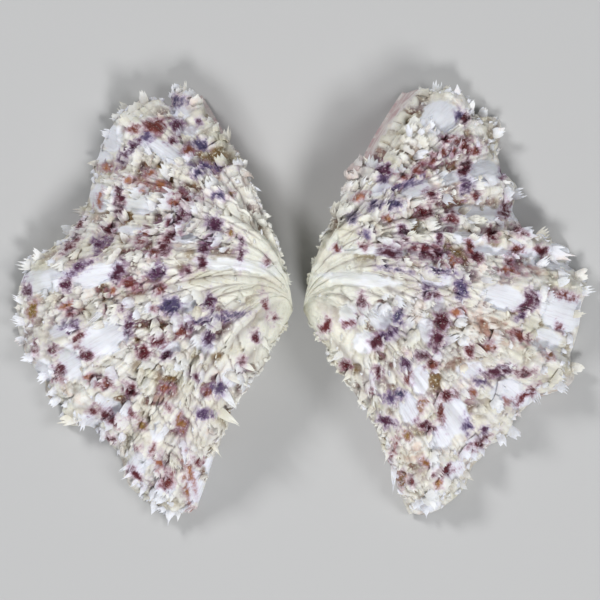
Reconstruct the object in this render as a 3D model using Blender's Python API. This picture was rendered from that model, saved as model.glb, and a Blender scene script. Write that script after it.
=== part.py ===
"""Bear paw clam shell: the two valves of one shell, lying side by side on their margins.

Each valve is a loft of growth stages. A stage is a fan of ribs that leave the umbo, the oldest
point of the shell, and end on the margin. Two narrow faces close the fan down to the resting
plane: the lunule on the anterior side and the hinge side on the posterior one. A second, smooth
surface makes the hollow. Sizes are millimetres until a mesh is made. In a valve's own plan,
x runs from the umbo towards the ventral margin, y towards the anterior end, and z is up.
"""

import math

import bmesh
import bpy
import numpy as np
from mathutils import Vector
from mathutils.bvhtree import BVHTree

MM = 0.001

# Whole pair
UMBO_PLACE = {"left": (-1.75, -1.6), "right": (0.15, -1.6)}
VENTRAL_WAY = {"left": -1.0, "right": 1.0}
SEED = {"left": 11, "right": 23}

# Form of a valve
VALVE_DEPTH = 23.0
BEAK_SHARE = 0.4
BEAK_TURN = 0.3
DOME_POWER = 2.2
DOME_ROUND = 0.75
ANTERIOR_ANGLE = {"left": 66.0, "right": 64.6}
POSTERIOR_ANGLE = {"left": -63.0, "right": -61.5}
MARGIN_REACH = (
    (-64.0, 39.8),
    (-61.5, 42.4),
    (-56.0, 44.2),
    (-48.0, 43.0),
    (-38.0, 41.5),
    (-28.0, 43.2),
    (-18.0, 46.7),
    (-8.0, 50.0),
    (2.0, 50.8),
    (10.0, 49.0),
    (18.0, 43.9),
    (26.0, 42.6),
    (34.0, 44.1),
    (42.0, 46.8),
    (50.0, 47.9),
    (58.0, 47.4),
    (62.0, 46.2),
    (66.0, 43.2),
)
VENTRAL_PACE = ((0.0, 1.0), (0.2, 0.95), (0.5, 1.12), (0.75, 1.1), (0.9, 0.98), (1.0, 1.03))
ANTERIOR_PACE = ((0.0, 1.0), (0.6, 1.0), (1.0, 0.75))
DOME_SHARE = ((0.0, 0.5), (0.15, 0.74), (0.35, 0.93), (0.6, 1.0), (0.85, 0.93), (1.0, 0.78))
UMBO_SWEEP = 8.0
SWEEP_PACE = 0.58
SWEEP_ENDS = (0.16, 0.3)
HINGE_BOW = 2.2
UMBO_FACING = (-0.94, 0.0, 0.34)
KEEL_DROP = 0.45
HINGE_POINT = (2.6, 0.2)
LUNULE_INSET = 1.8
HINGE_INSET = 2.2
SIDE_BULGE = 0.8

# Folds: angle on the margin, half width in degrees, height. Tongues: angle, half width, reach.
FOLDS = {
    "left": (
        (62.5, 3.5, 1.6),
        (47.0, 7.5, 2.6),
        (30.5, 6.0, 2.2),
        (20.0, 4.0, 1.2),
        (5.5, 6.5, 2.8),
        (-11.0, 6.0, 2.4),
        (-25.0, 5.5, 2.0),
        (-35.0, 4.0, 1.3),
        (-46.0, 5.0, 2.0),
        (-56.5, 4.5, 1.6),
    ),
    "right": (
        (62.5, 3.0, 1.4),
        (54.0, 6.0, 2.6),
        (34.0, 7.0, 2.6),
        (22.5, 4.0, 1.5),
        (14.0, 3.5, 1.8),
        (1.0, 7.0, 2.8),
        (-14.5, 5.5, 2.2),
        (-28.0, 6.5, 2.4),
        (-40.5, 4.5, 1.6),
        (-53.0, 6.0, 2.0),
    ),
}
TONGUES = {
    "left": (
        (58.5, 3.4, -4.2),
        (36.0, 3.0, 0.7),
        (10.5, 2.8, 1.1),
        (-19.5, 4.0, 1.7),
        (-26.0, 4.5, 3.3),
        (-47.0, 7.0, 1.2),
    ),
    "right": (
        (54.0, 7.0, 1.4),
        (44.0, 5.5, 3.0),
        (30.0, 5.0, 2.3),
        (13.5, 4.2, 3.0),
        (5.5, 5.5, 2.0),
        (-15.0, 6.5, 3.3),
        (-32.0, 5.5, 1.8),
        (-39.0, 5.0, 0.9),
        (-48.0, 7.0, 1.0),
    ),
}
MARGIN_ARCH = 1.4
END_LIFT = 1.2

# Smooth white fields on the folds: angle, half width, first and last growth stage
FIELDS = {
    "left": (
        (47.0, 6.0, 0.58, 0.86),
        (30.5, 5.0, 0.60, 0.86),
        (5.5, 5.5, 0.62, 0.84),
        (5.5, 5.0, 0.88, 0.99),
        (-11.0, 5.5, 0.62, 0.84),
        (-46.0, 4.5, 0.66, 0.88),
    ),
    "right": (
        (54.0, 5.5, 0.66, 0.90),
        (34.0, 6.0, 0.72, 0.96),
        (1.0, 5.5, 0.58, 0.82),
        (1.0, 6.0, 0.86, 0.99),
        (-14.5, 5.0, 0.66, 0.86),
        (-28.0, 5.5, 0.55, 0.78),
    ),
}

# Wall and hollow
MARGIN_THICKNESS = 1.5
SIDE_THICKNESS = 3.6
HOLLOW_CENTRE = (20.5, 0.6)
HOLLOW_DEPTH = 19.0
ROOF_THICKNESS = 2.4
ROOF_BLEND = 1.5
HOLLOW_ROUND_VENTRAL = 1.9
HOLLOW_ROUND_SIDE = 3.4
HOLLOW_FOLD_SHARE = 0.7

# Scales: ledges at the crossings of riblets and growth stages
SCALE_RISE = 1.5
SCALE_LEAN = 0.9
MARGIN_FRILL = 0.9
HINGE_SPINE = 1.7

# Mesh: the fan has two columns for each riblet and two rows for each ledge
RIBLETS = 35
LEDGES = 11
SIDE_COLUMNS = 2
HOLLOW_ROWS = 5

SHELL_COLOUR = (0.86, 0.82, 0.76, 1.0)
SHELL_ROUGHNESS = 0.55


def smooth_curve(points, x):
    """Cubic through hand-set points, each slope taken from the two neighbours."""
    at, value = np.array(points, float).T
    slope = np.gradient(value, at)
    i = np.clip(np.searchsorted(at, x) - 1, 0, len(at) - 2)
    span = at[i + 1] - at[i]
    t = (x - at[i]) / span
    start = (1 + 2 * t) * (1 - t) ** 2 * value[i] + t * (1 - t) ** 2 * span * slope[i]
    end = t * t * (3 - 2 * t) * value[i + 1] + t * t * (t - 1) * span * slope[i + 1]
    return start + end


def ease(x):
    """0 below 0, 1 above 1, and smooth between."""
    x = np.clip(x, 0.0, 1.0)
    return x * x * (3 - 2 * x)


def bumps(rows, angle):
    """Sum of round-topped bumps: each row is a centre, a half width and a height."""
    total = np.zeros_like(angle)
    for centre, half, height in rows:
        reach = np.clip(np.abs(angle - centre) / half, 0.0, 1.0)
        total += height * np.cos(reach * math.pi / 2) ** 2
    return total


def field_mask(side, angle, stage):
    """1 inside a valve's smooth fields and 0 outside."""
    mask = np.zeros_like(angle)
    for centre, half, first, last in FIELDS[side]:
        across = ease((half - np.abs(angle - centre)) / 1.5)
        along = ease((stage - first) / 0.03) * ease((last - stage) / 0.03)
        mask = np.maximum(mask, across * along)
    return mask


def rim_height(side, angle):
    """Height of the margin: it arches over each fold and touches down between them."""
    arch = MARGIN_ARCH * np.clip(bumps(FOLDS[side], angle) / 2.2, 0.0, 1.0)
    ends = ease((angle - ANTERIOR_ANGLE[side] + 3) / 3) + ease((POSTERIOR_ANGLE[side] + 3 - angle) / 3)
    return np.maximum(arch, END_LIFT * ends)


def smooth_form(side, angle, stage):
    """A valve without its folds: points (x, y, z) of the ribs at these angles and growth stages."""
    last, first = POSTERIOR_ANGLE[side], ANTERIOR_ANGLE[side]
    across = (angle - last) / (first - last)
    reach = smooth_curve(MARGIN_REACH, angle) + bumps(TONGUES[side], angle) * stage**6
    turn = np.radians(angle)
    window = ease(across / SWEEP_ENDS[0]) * ease((1 - across) / SWEEP_ENDS[1])
    x = reach * np.cos(turn) * stage ** smooth_curve(VENTRAL_PACE, across)
    x = x + HINGE_BOW * ease(1 - across / 0.25) * np.sin(math.pi * stage) ** 2
    y = reach * np.sin(turn) * stage ** smooth_curve(ANTERIOR_PACE, across)
    y = y + UMBO_SWEEP * window * np.sin(math.pi * stage**SWEEP_PACE)
    rise = np.sqrt(1 - (1 - np.clip(stage / BEAK_TURN, 0, 1)) ** 2)
    share = BEAK_SHARE + (smooth_curve(DOME_SHARE, across) - BEAK_SHARE) * rise
    drop = 1 - KEEL_DROP * ease((stage - 0.4) / 0.4) * ease((angle - 60) / 5)
    dome = (1 - np.clip(stage, 0, 1) ** DOME_POWER) ** DOME_ROUND
    z = VALVE_DEPTH * share * drop * dome + rim_height(side, angle) * stage**8
    return np.stack([x, y, z], axis=-1)


def unit(vectors):
    return vectors / np.maximum(np.linalg.norm(vectors, axis=-1, keepdims=True), 1e-9)


def grid_frames(points):
    """Outward normal and growth direction at each point of a grid of ribs by stages."""
    along = unit(np.gradient(points, axis=1))
    across = np.gradient(points, axis=0)
    normal = unit(np.cross(across, along))
    normal[:, 0] = UMBO_FACING
    return normal, along


def fan_angles(side):
    """Angles on the margin of the fan's columns, anterior first."""
    return np.linspace(ANTERIOR_ANGLE[side], POSTERIOR_ANGLE[side], 2 * RIBLETS + 1)


def fan(side):
    """The fan's points, ribs from anterior to posterior by stages from umbo to margin."""
    rng = np.random.default_rng(SEED[side])
    columns, rows = 2 * RIBLETS + 1, 2 * LEDGES + 1
    angle = fan_angles(side)[:, None] * np.ones(rows)
    stage = np.linspace(0, 1, rows)[None, :] * np.ones((columns, 1))
    points = smooth_form(side, angle, stage)
    normal, along = grid_frames(points)
    folds = bumps(FOLDS[side], angle) * stage**0.9 * (1 - stage**12)
    points += normal * folds[..., None]

    ledge = np.zeros((columns, rows))
    ledge[1::2, 3:-2:2] = 1.0
    ledge *= rng.uniform(0.45, 1.15, ledge.shape)
    ledge *= (0.3 + 0.7 * stage) * (1 - 0.9 * field_mask(side, angle, stage))
    ledge[1::2] *= 1 - ease((angle[1::2] - 60) / 3) * ease((stage[1::2] - 0.4) / 0.2)
    points += ledge[..., None] * (SCALE_RISE * normal + SCALE_LEAN * along)

    outward = unit(points[:, -1, :2])
    points[1::2, -1, :2] += MARGIN_FRILL * outward[1::2]
    spine_rows = slice(5, rows - 3, 2)
    points[-1, spine_rows] += HINGE_SPINE * np.array([-0.8, -0.6, 0.1])
    return points


def side_face(ridge, base, outward):
    """Columns between a ridge of the fan and its line on the resting plane, bulging a little."""
    shares = np.arange(1, SIDE_COLUMNS + 1) / (SIDE_COLUMNS + 1)
    columns = []
    for share in shares:
        column = ridge + (base - ridge) * share
        column[1:-1] += SIDE_BULGE * math.sin(math.pi * share) * np.array(outward)
        columns.append(column)
    return columns + [base]


def base_line(ridge, inset, inward, fade):
    """Line on the resting plane under a ridge: from the hinge point out to the ridge's end."""
    stage = np.linspace(0, 1, len(ridge))
    start = ease(stage / 0.25)[:, None]
    shift = inset * fade(stage)[:, None] * np.array(inward)
    offset = (1 - start) * np.array(HINGE_POINT) + start * shift
    base = np.zeros((len(ridge), 3))
    base[:, :2] = ridge[:, :2] + offset
    return base


def smooth_ridge(side, angle):
    """The fan's edge without ledges or spines."""
    stage = np.linspace(0, 1, 2 * LEDGES + 1)
    return smooth_form(side, np.full_like(stage, angle), stage)


def outer_columns(side):
    """All columns of the outside, from the lunule's base round to the hinge side's base."""
    body = fan(side)
    front = base_line(
        smooth_ridge(side, ANTERIOR_ANGLE[side]), LUNULE_INSET, (0.91, -0.4), lambda s: 1 - ease((s - 0.35) / 0.4)
    )
    back = base_line(
        smooth_ridge(side, POSTERIOR_ANGLE[side]), HINGE_INSET, (0.88, 0.48), lambda s: np.sqrt(1 - s)
    )
    lunule = side_face(body[0], front, (-0.91, 0.4, 0.0))
    hinge = side_face(body[-1], back, (-0.88, -0.48, 0.0))
    return np.array(lunule[::-1] + list(body) + hinge)


def rim_loop(columns):
    """Indices (column, stage) round the underside's outer edge, starting at the hinge point."""
    count, rows = columns.shape[:2]
    out = [(0, row) for row in range(rows - 1)]
    out += [(column, rows - 1) for column in range(count)]
    out += [(count - 1, row) for row in range(rows - 2, 0, -1)]
    return out


def blurred(values, passes):
    """Values round a closed loop, each pass averaging a point with its neighbours."""
    for _ in range(passes):
        values = (np.roll(values, 1, 0) + 2 * values + np.roll(values, -1, 0)) / 4
    return values


def roof(side):
    """Search tree of the smooth outside, to find what is above a point of the hollow."""
    angles, stages = 61, 41
    angle = np.linspace(ANTERIOR_ANGLE[side], POSTERIOR_ANGLE[side], angles)[:, None] * np.ones(stages)
    stage = np.linspace(0, 1, stages)[None, :] * np.ones((angles, 1))
    points = smooth_form(side, angle, stage).reshape(-1, 3)
    index = np.arange(angles * stages).reshape(angles, stages)
    quads = np.stack([index[:-1, :-1], index[:-1, 1:], index[1:, 1:], index[1:, :-1]], axis=-1)
    return BVHTree.FromPolygons(points.tolist(), quads.reshape(-1, 4).tolist())


def below_roof(tree, points):
    """Lowers points of the hollow, where needed, to leave the wall its thickness above them."""
    out = points.copy()
    for i, (x, y, z) in enumerate(points):
        hit, normal, _, _ = tree.ray_cast(Vector((x, y, -5.0)), Vector((0.0, 0.0, 1.0)))
        if hit is None:
            continue
        limit = hit.z - ROOF_THICKNESS / max(abs(normal.z), 0.35)
        out[i, 2] = max((z + limit - math.hypot(z - limit, ROOF_BLEND)) / 2, 0.0)
    return out


def hollow_rows(side, loop_points, on_margin):
    """Rows of the hollow from the rim's inner edge to the centre, and the centre's point."""
    centre = np.array(HOLLOW_CENTRE)
    tangent = blurred(np.roll(loop_points, -1, 0) - np.roll(loop_points, 1, 0), 6)[:, :2]
    inward = unit(np.stack([tangent[:, 1], -tangent[:, 0]], axis=1))
    to_centre = unit(centre - loop_points[:, :2])
    share = blurred(on_margin.astype(float), 10)
    thickness = SIDE_THICKNESS + (MARGIN_THICKNESS - SIDE_THICKNESS) * share
    steep = np.maximum((to_centre * inward).sum(axis=1), 0.6)
    edge = loop_points.copy()
    edge[:, :2] += to_centre * (thickness / steep)[:, None]
    edge[:, 2] = blurred(edge[:, 2], 1) * (edge[:, 2] > 0)

    angle = np.degrees(np.arctan2(loop_points[:, 1], loop_points[:, 0]))
    fold = bumps(FOLDS[side], angle) * HOLLOW_FOLD_SHARE * on_margin
    power = HOLLOW_ROUND_SIDE + (HOLLOW_ROUND_VENTRAL - HOLLOW_ROUND_SIDE) * share
    tree = roof(side)
    rows = [edge]
    for row in range(1, HOLLOW_ROWS):
        reach = 1 - (row / HOLLOW_ROWS) ** 1.3
        ring = edge.copy()
        ring[:, :2] = centre + (edge[:, :2] - centre) * reach
        ring[:, 2] = edge[:, 2] * reach**6 + HOLLOW_DEPTH * (1 - reach**power)
        ring = below_roof(tree, ring)
        ring[:, 2] += fold * reach**3
        rows.append(ring)
    return rows, below_roof(tree, np.array([[*centre, HOLLOW_DEPTH]]))


def quads_between(first, second):
    """Faces that join two equal rows of indices round a closed loop."""
    return [
        (first[i], first[(i + 1) % len(first)], second[(i + 1) % len(first)], second[i])
        for i in range(len(first))
    ]


def valve_faces(side):
    """Points and faces of one closed valve, in its own plan and in millimetres."""
    columns = outer_columns(side)
    count, rows = columns.shape[:2]
    index = np.arange(count * rows).reshape(count, rows)
    points = [columns.reshape(-1, 3)]
    faces = [
        (index[c, r], index[c, r + 1], index[c + 1, r + 1], index[c + 1, r])
        for c in range(count - 1)
        for r in range(rows - 1)
    ]
    loop = rim_loop(columns)
    calm = columns.copy()
    calm[1 + SIDE_COLUMNS : -1 - SIDE_COLUMNS, -1] = smooth_margin(side)
    loop_points = np.array([calm[c, r] for c, r in loop])
    on_margin = np.array([SIDE_COLUMNS < c < count - 1 - SIDE_COLUMNS for c, _ in loop])
    rings, centre = hollow_rows(side, loop_points, on_margin)
    previous = [index[c, r] for c, r in loop]
    start = count * rows
    for ring in rings:
        current = list(range(start, start + len(loop)))
        faces += quads_between(current, previous)
        points.append(ring)
        previous = current
        start += len(loop)
    points.append(centre)
    faces += [(previous[i], start, previous[(i + 1) % len(loop)]) for i in range(len(loop))]
    return np.concatenate(points), faces


def smooth_margin(side):
    """The margin without its frill, rib by rib."""
    angle = fan_angles(side)
    return smooth_form(side, angle, np.ones_like(angle))


def shell_material():
    material = bpy.data.materials.new("shell")
    material.use_nodes = True
    shader = material.node_tree.nodes["Principled BSDF"]
    shader.inputs["Base Color"].default_value = SHELL_COLOUR
    shader.inputs["Roughness"].default_value = SHELL_ROUGHNESS
    shader.inputs["Metallic"].default_value = 0.0
    return material


def make_valve(side, collection):
    """One valve as a mesh object, standing on the resting plane at its place in the pair."""
    points, faces = valve_faces(side)
    way = VENTRAL_WAY[side]
    place = np.array([*UMBO_PLACE[side], 0.0])
    world = points * np.array([way, 1.0, 1.0]) + place
    mesh = bpy.data.meshes.new(f"{side}_valve")
    mesh.from_pydata((world * MM).tolist(), [], [[int(i) for i in face] for face in faces])
    clean_up(mesh)
    mesh.materials.append(shell_material())
    valve = bpy.data.objects.new(f"{side}_valve", mesh)
    collection.objects.link(valve)
    mesh.shade_smooth()
    mesh.set_sharp_from_angle(angle=math.radians(50))
    return valve


def clean_up(mesh):
    """Merges the points that meet at the umbo and turns every face outwards."""
    work = bmesh.new()
    work.from_mesh(mesh)
    bmesh.ops.remove_doubles(work, verts=work.verts, dist=0.00002)
    bmesh.ops.recalc_face_normals(work, faces=work.faces)
    work.to_mesh(mesh)
    work.free()


def main():
    for old in list(bpy.data.objects):
        bpy.data.objects.remove(old)
    collection = bpy.data.collections.new("bear_paw_clam_shell")
    bpy.context.scene.collection.children.link(collection)
    for side in ("left", "right"):
        make_valve(side, collection)


main()
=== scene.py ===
"""Bear paw clam shell: the dressed model, laid out as an add-on and run as a script.

Each valve is two pieces: the wall, which is one closed skin with its ribs, hollow and hinge, and
the scales that stand on the ribs. In a valve's own plan, x runs in millimetres from the umbo, the
oldest point, towards the ventral margin, y towards the anterior end, and z is up. A place on the
outside is an angle, in degrees round the umbo, and a growth stage from 0 at the umbo to 1 at the
margin.
"""

import math

import bmesh
import bpy
import numpy as np
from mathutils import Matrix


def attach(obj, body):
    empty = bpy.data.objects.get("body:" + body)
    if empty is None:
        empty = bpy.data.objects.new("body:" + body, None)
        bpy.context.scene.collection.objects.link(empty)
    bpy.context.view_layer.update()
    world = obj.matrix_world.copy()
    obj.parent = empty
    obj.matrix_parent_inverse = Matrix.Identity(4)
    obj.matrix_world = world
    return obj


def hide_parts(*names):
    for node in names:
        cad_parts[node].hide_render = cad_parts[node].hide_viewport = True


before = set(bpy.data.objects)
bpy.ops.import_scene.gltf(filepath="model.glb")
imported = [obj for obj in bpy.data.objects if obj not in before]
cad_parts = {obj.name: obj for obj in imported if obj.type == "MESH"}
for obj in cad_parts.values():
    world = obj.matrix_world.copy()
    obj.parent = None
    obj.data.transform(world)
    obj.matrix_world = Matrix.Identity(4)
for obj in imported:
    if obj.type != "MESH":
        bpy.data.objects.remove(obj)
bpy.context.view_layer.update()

bl_info = {
    "name": "Bear Paw Clam Shell",
    "version": (1, 0, 0),
    "blender": (4, 5, 0),
    "location": "3D View > Sidebar > Shell",
    "description": "Makes the two valves of a bear paw clam shell, their scales and a studio stage",
    "category": "Add Mesh",
}

MM = 0.001
SIDES = ("left", "right")

# The photograph: millimetres for a pixel, the pixel over the origin, and its size
PIXEL = 0.18307
ORIGIN_PIXEL = (302.5, 302.0)
PHOTO_SIZE = 600

# Form of a valve, as the solids have it
UMBO_PLACE = {"left": (-1.75, -1.6), "right": (0.15, -1.6)}
VENTRAL_WAY = {"left": -1.0, "right": 1.0}
BEAK_SHARE = 0.4
BEAK_TURN = 0.3
DOME_POWER = 2.2
DOME_ROUND = 0.75
ANTERIOR_ANGLE = {"left": 66.0, "right": 64.6}
POSTERIOR_ANGLE = {"left": -63.0, "right": -61.5}
MARGIN_REACH = (
    (-64.0, 39.8), (-61.5, 42.4), (-56.0, 44.2), (-48.0, 43.0), (-38.0, 41.5), (-28.0, 43.2), (-18.0, 46.7),
    (-8.0, 50.0), (2.0, 50.8), (10.0, 49.0), (18.0, 43.9), (26.0, 42.6), (34.0, 44.1), (42.0, 46.8),
    (50.0, 47.9), (58.0, 47.4), (62.0, 46.2), (66.0, 43.2),
)
VENTRAL_PACE = ((0.0, 1.0), (0.2, 0.95), (0.5, 1.12), (0.75, 1.1), (0.9, 0.98), (1.0, 1.03))
ANTERIOR_PACE = ((0.0, 1.0), (0.6, 1.0), (1.0, 0.75))
DOME_SHARE = ((0.0, 0.5), (0.15, 0.74), (0.35, 0.93), (0.6, 1.0), (0.85, 0.93), (1.0, 0.78))
UMBO_SWEEP = 8.0
SWEEP_PACE = 0.58
SWEEP_ENDS = (0.16, 0.3)
HINGE_BOW = 2.2
KEEL_DROP = 0.45
HINGE_POINT = (2.6, 0.2)
LUNULE_INSET = 1.8
HINGE_INSET = 2.2
SIDE_BULGE = 0.8
MARGIN_ARCH = 1.4
END_LIFT = 1.2

# Folds: angle, half width in degrees, height. Tongues: angle, half width, reach.
FOLDS = {
    "left": (
        (62.5, 3.5, 1.6), (47.0, 7.5, 2.6), (30.5, 6.0, 2.2), (20.0, 4.0, 1.2), (5.5, 6.5, 2.8),
        (-11.0, 6.0, 2.4), (-25.0, 5.5, 2.0), (-35.0, 4.0, 1.3), (-46.0, 5.0, 2.0), (-56.5, 4.5, 1.6),
    ),
    "right": (
        (62.5, 3.0, 1.4), (54.0, 6.0, 2.6), (34.0, 7.0, 2.6), (22.5, 4.0, 1.5), (14.0, 3.5, 1.8),
        (1.0, 7.0, 2.8), (-14.5, 5.5, 2.2), (-28.0, 6.5, 2.4), (-40.5, 4.5, 1.6), (-53.0, 6.0, 2.0),
    ),
}
TONGUES = {
    "left": (
        (58.5, 3.4, -4.2), (36.0, 3.0, 0.7), (10.5, 2.8, 1.1), (-19.5, 4.0, 1.7), (-26.0, 4.5, 3.3),
        (-47.0, 7.0, 1.2),
    ),
    "right": (
        (54.0, 7.0, 1.4), (44.0, 5.5, 3.0), (30.0, 5.0, 2.3), (13.5, 4.2, 3.0), (5.5, 5.5, 2.0),
        (-15.0, 6.5, 3.3), (-32.0, 5.5, 1.8), (-39.0, 5.0, 0.9), (-48.0, 7.0, 1.0),
    ),
}

# Hollow, in the valve's plan: wall thickness, the middle and depth of the bowl, and its roundness
MARGIN_THICKNESS = 1.5
SIDE_THICKNESS = 3.6
HOLLOW_CENTRE = (20.5, 0.6)
HOLLOW_DEPTH = 19.0
ROOF_THICKNESS = 2.4
ROOF_BLEND = 1.5
HOLLOW_ROUND_VENTRAL = 1.9
HOLLOW_ROUND_SIDE = 3.4
HOLLOW_FOLD_SHARE = 0.7

# Grids: columns and rows of the outside, of a side face, of the rim strip and of the hollow
COLUMNS = 480
ROWS = 150
SIDE_COLUMNS = 8
RIM_ROWS = 4
HOLLOW_ROWS = 15

# Riblets at the margin, the stages where a cord splits in two, and the growth ledges and scale rows
RIBLETS = 72
SPLIT_STAGES = (0.2, 0.4, 0.62)
LEDGES = 17
GROWTH_ROWS = 39

# Points across and along a blade and a chip, and the thickness of both at root and tip
BLADE_GRID = (7, 4)
CHIP_GRID = (4, 3)
ROOT_THICKNESS = 0.2
TIP_THICKNESS = 0.07

# Edges of a scale that bend more than this, in degrees, look sharp
SHARP_ANGLE = 18.0

# Scales: how many of each kind, and the two limits between which each property is drawn, in
# millimetres and radians. Those in BELL, and the lean of the riblet scales, have a middle and a
# spread instead, but the turn of the ridge teeth has limits.
FRILL_PER_RIBLET = 3
PLATE_COUNT = 150
RIDGE_COUNT = 200
CHIP_COUNT = 2300
BELL = ("curl", "turn")
RIB_DRAW = {
    "lean": (0, 0.35), "curl": (-0.2, 0.3), "arch": (0.1, 0.42), "taper": (-0.3, 0.8), "turn": (0, 0.22),
}
FRILL_DRAW = {
    "length": (0.5, 1.5), "lean": (0.0, 0.8), "curl": (0.1, 0.25), "arch": (0.1, 0.4), "taper": (0.0, 0.9),
    "turn": (0, 0.35), "width": (0.6, 1.6),
}
PLATE_DRAW = {
    "length": (1.5, 3.2), "lean": (0.2, 0.9), "curl": (-0.15, 0.25), "arch": (0.2, 0.45),
    "taper": (-0.2, 0.5), "turn": (0, 0.25), "width": (1.6, 3.8),
}
RIDGE_DRAW = {
    "length": (0.5, 1.3), "lean": (0.1, 0.8), "curl": (0.0, 0.25), "arch": (0.1, 0.4), "taper": (0.1, 0.9),
    "turn": (0.5, 1.4), "width": (0.6, 1.5),
}
CHIP_DRAW = {
    "length": (0.35, 0.95), "lean": (0.2, 1.5), "curl": (0.0, 0.4), "arch": (0.0, 0.7), "taper": (-0.1, 0.9),
    "turn": (0, 0.9), "width": (0.3, 0.95),
}

# Deep notch of the left margin, where nothing grows: angle, half width in degrees, first stage
LEFT_NOTCH = (58.5, 2.2, 0.85)

# Points of a wall that are closer than this, in metres, become one
WELD_DISTANCE = 0.0000002

# Blades that stand out in the photograph: tip x and y, root x and y, and width, in pixels
CHOSEN_BLADES = {
    "left": (
        (272, 346, 260, 337, 8), (256, 371, 243, 361, 9), (248.5, 386, 230, 372, 13),
        (238.5, 405, 222, 388, 12), (235, 425, 216, 406, 13), (219, 455, 212, 442, 7),
        (284, 326, 274, 319, 6), (119, 473, 131, 466, 5), (122, 479, 133, 473, 5), (127, 486, 137, 478, 5),
        (140, 497, 145, 485, 8), (59, 420, 74, 416, 10), (75, 428, 82, 418, 9), (49, 402, 60, 396, 9),
        (48, 394, 58, 388, 7), (13, 344, 24, 340, 9), (173, 84, 176, 97, 4), (182, 85, 182, 97, 5),
        (143, 93, 146, 106, 9), (87, 161, 97, 163, 8), (74, 212, 86, 212, 9), (63, 230, 75, 232, 9),
        (21, 261, 34, 266, 12), (32, 254, 44, 261, 10), (260, 197, 250, 192, 7), (272, 218, 262, 217, 8),
        (242, 168, 233, 168, 6), (278, 269, 268, 268, 5), (16, 300, 27, 300, 9), (14, 322, 26, 322, 9),
        (26, 360, 36, 354, 9), (35, 380, 45, 374, 9), (153, 516, 156, 504, 10), (170, 521, 170, 508, 12),
        (176, 520, 177, 509, 8), (118, 104, 126, 112, 10), (100, 130, 110, 134, 10),
        (180, 218, 172, 226, 10), (186, 262, 176, 256, 11), (170, 262, 160, 268, 12), (92, 380, 84, 368, 9),
        (135, 352, 124, 344, 12), (164, 322, 172, 334, 11), (150, 262, 140, 256, 10),
    ),
    "right": (
        (331, 363, 343, 351, 9), (344, 385, 353, 370, 10), (359, 404, 367, 388, 12),
        (370, 419, 375, 403, 10), (377, 435, 382, 421, 5), (383, 460, 390, 446, 8), (395, 492, 395, 464, 8),
        (330, 209, 340, 212, 7), (363, 162, 372, 168, 7), (492, 107, 482, 115, 11),
        (505, 130, 493, 134, 12), (525, 189, 512, 194, 12), (550, 236, 538, 242, 10),
        (571, 254, 549, 253, 17), (590, 275, 576, 278, 11), (592, 290, 580, 292, 10),
        (583, 312, 572, 314, 9), (583, 375, 571, 368, 11), (566, 389, 556, 380, 10),
        (543, 402, 535, 392, 11), (517, 437, 508, 428, 11), (509, 445, 500, 434, 9),
        (474, 482, 465, 473, 9), (468, 492, 459, 484, 8), (426, 519, 425, 506, 12), (414, 513, 417, 502, 9),
        (437, 148, 436, 163, 6), (447, 146, 446, 161, 6), (458, 139, 455, 153, 6), (475, 136, 474, 151, 6),
        (418, 308, 404, 322, 10), (457, 328, 442, 340, 10), (468, 205, 459, 214, 9),
        (516, 236, 507, 246, 8), (501, 223, 497, 233, 6), (436, 82, 437, 94, 9), (456, 88, 455, 99, 8),
        (420, 86, 423, 98, 8), (470, 99, 466, 109, 8), (488, 290, 478, 296, 9), (550, 262, 537, 268, 10),
        (412, 340, 402, 346, 9), (440, 160, 430, 166, 8), (440, 272, 426, 276, 11),
    ),
}

# Bare fields, where the scales are worn off or never grew: pixel x, y, width, height, rise in degrees
BARE_FIELDS = {
    "left": (
        (101, 275, 46, 18, 20), (142, 206, 30, 16, -5), (103, 197, 26, 26, 0), (163, 152, 46, 18, -25),
        (112, 138, 20, 26, 0), (100, 156, 18, 10, 0), (131, 231, 30, 7, -3), (46, 277, 50, 12, 3),
        (42, 288, 26, 8, 5), (180, 113, 18, 12, 0), (190, 133, 14, 10, 0), (185, 238, 20, 10, 0),
        (248, 266, 56, 10, -10), (211, 264, 30, 8, -10), (106, 338, 46, 32, 15), (72, 362, 24, 32, 10),
        (44, 370, 20, 20, 0), (112, 407, 22, 14, -30), (137, 465, 18, 20, -30), (195, 487, 15, 30, 0),
        (209, 465, 9, 16, 0), (158, 432, 14, 16, 0), (89, 421, 18, 11, -20), (189, 305, 14, 12, 0),
        (230, 378, 14, 18, 30), (170, 346, 20, 12, 0), (62, 330, 24, 10, 10), (205, 345, 20, 12, -30),
    ),
    "right": (
        (484, 174, 34, 26, 5), (450, 179, 20, 10, 15), (439, 118, 36, 32, 30), (477, 214, 44, 15, -5),
        (510, 212, 22, 14, -10), (466, 238, 32, 10, -3), (488, 251, 34, 8, -8), (529, 254, 18, 8, -12),
        (550, 265, 40, 7, -8), (560, 250, 20, 12, -5), (502, 298, 42, 24, -10), (435, 280, 30, 10, -4),
        (562, 312, 44, 38, -10), (545, 340, 30, 20, 0), (419, 379, 17, 28, 0), (408, 408, 16, 28, 10),
        (455, 416, 26, 36, 12), (470, 369, 24, 14, 0), (380, 317, 22, 24, 0), (348, 316, 16, 24, 0),
        (364, 342, 20, 20, 0), (505, 390, 30, 20, 20), (523, 400, 24, 12, 30), (440, 437, 26, 20, 30),
        (415, 190, 26, 12, 20), (380, 190, 20, 8, 25), (375, 252, 60, 7, -3), (360, 280, 66, 12, -6),
        (436, 303, 10, 14, 0), (455, 470, 20, 16, 30), (428, 505, 24, 14, 0), (425, 330, 14, 22, 10),
    ),
}

# How far the edge of a field or of a broad patch of stains and painted shade is looked for, and the width
# over which a field fades, in pixels
FIELD_REACH = 8.0
FIELD_FADE = 2.6

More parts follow.
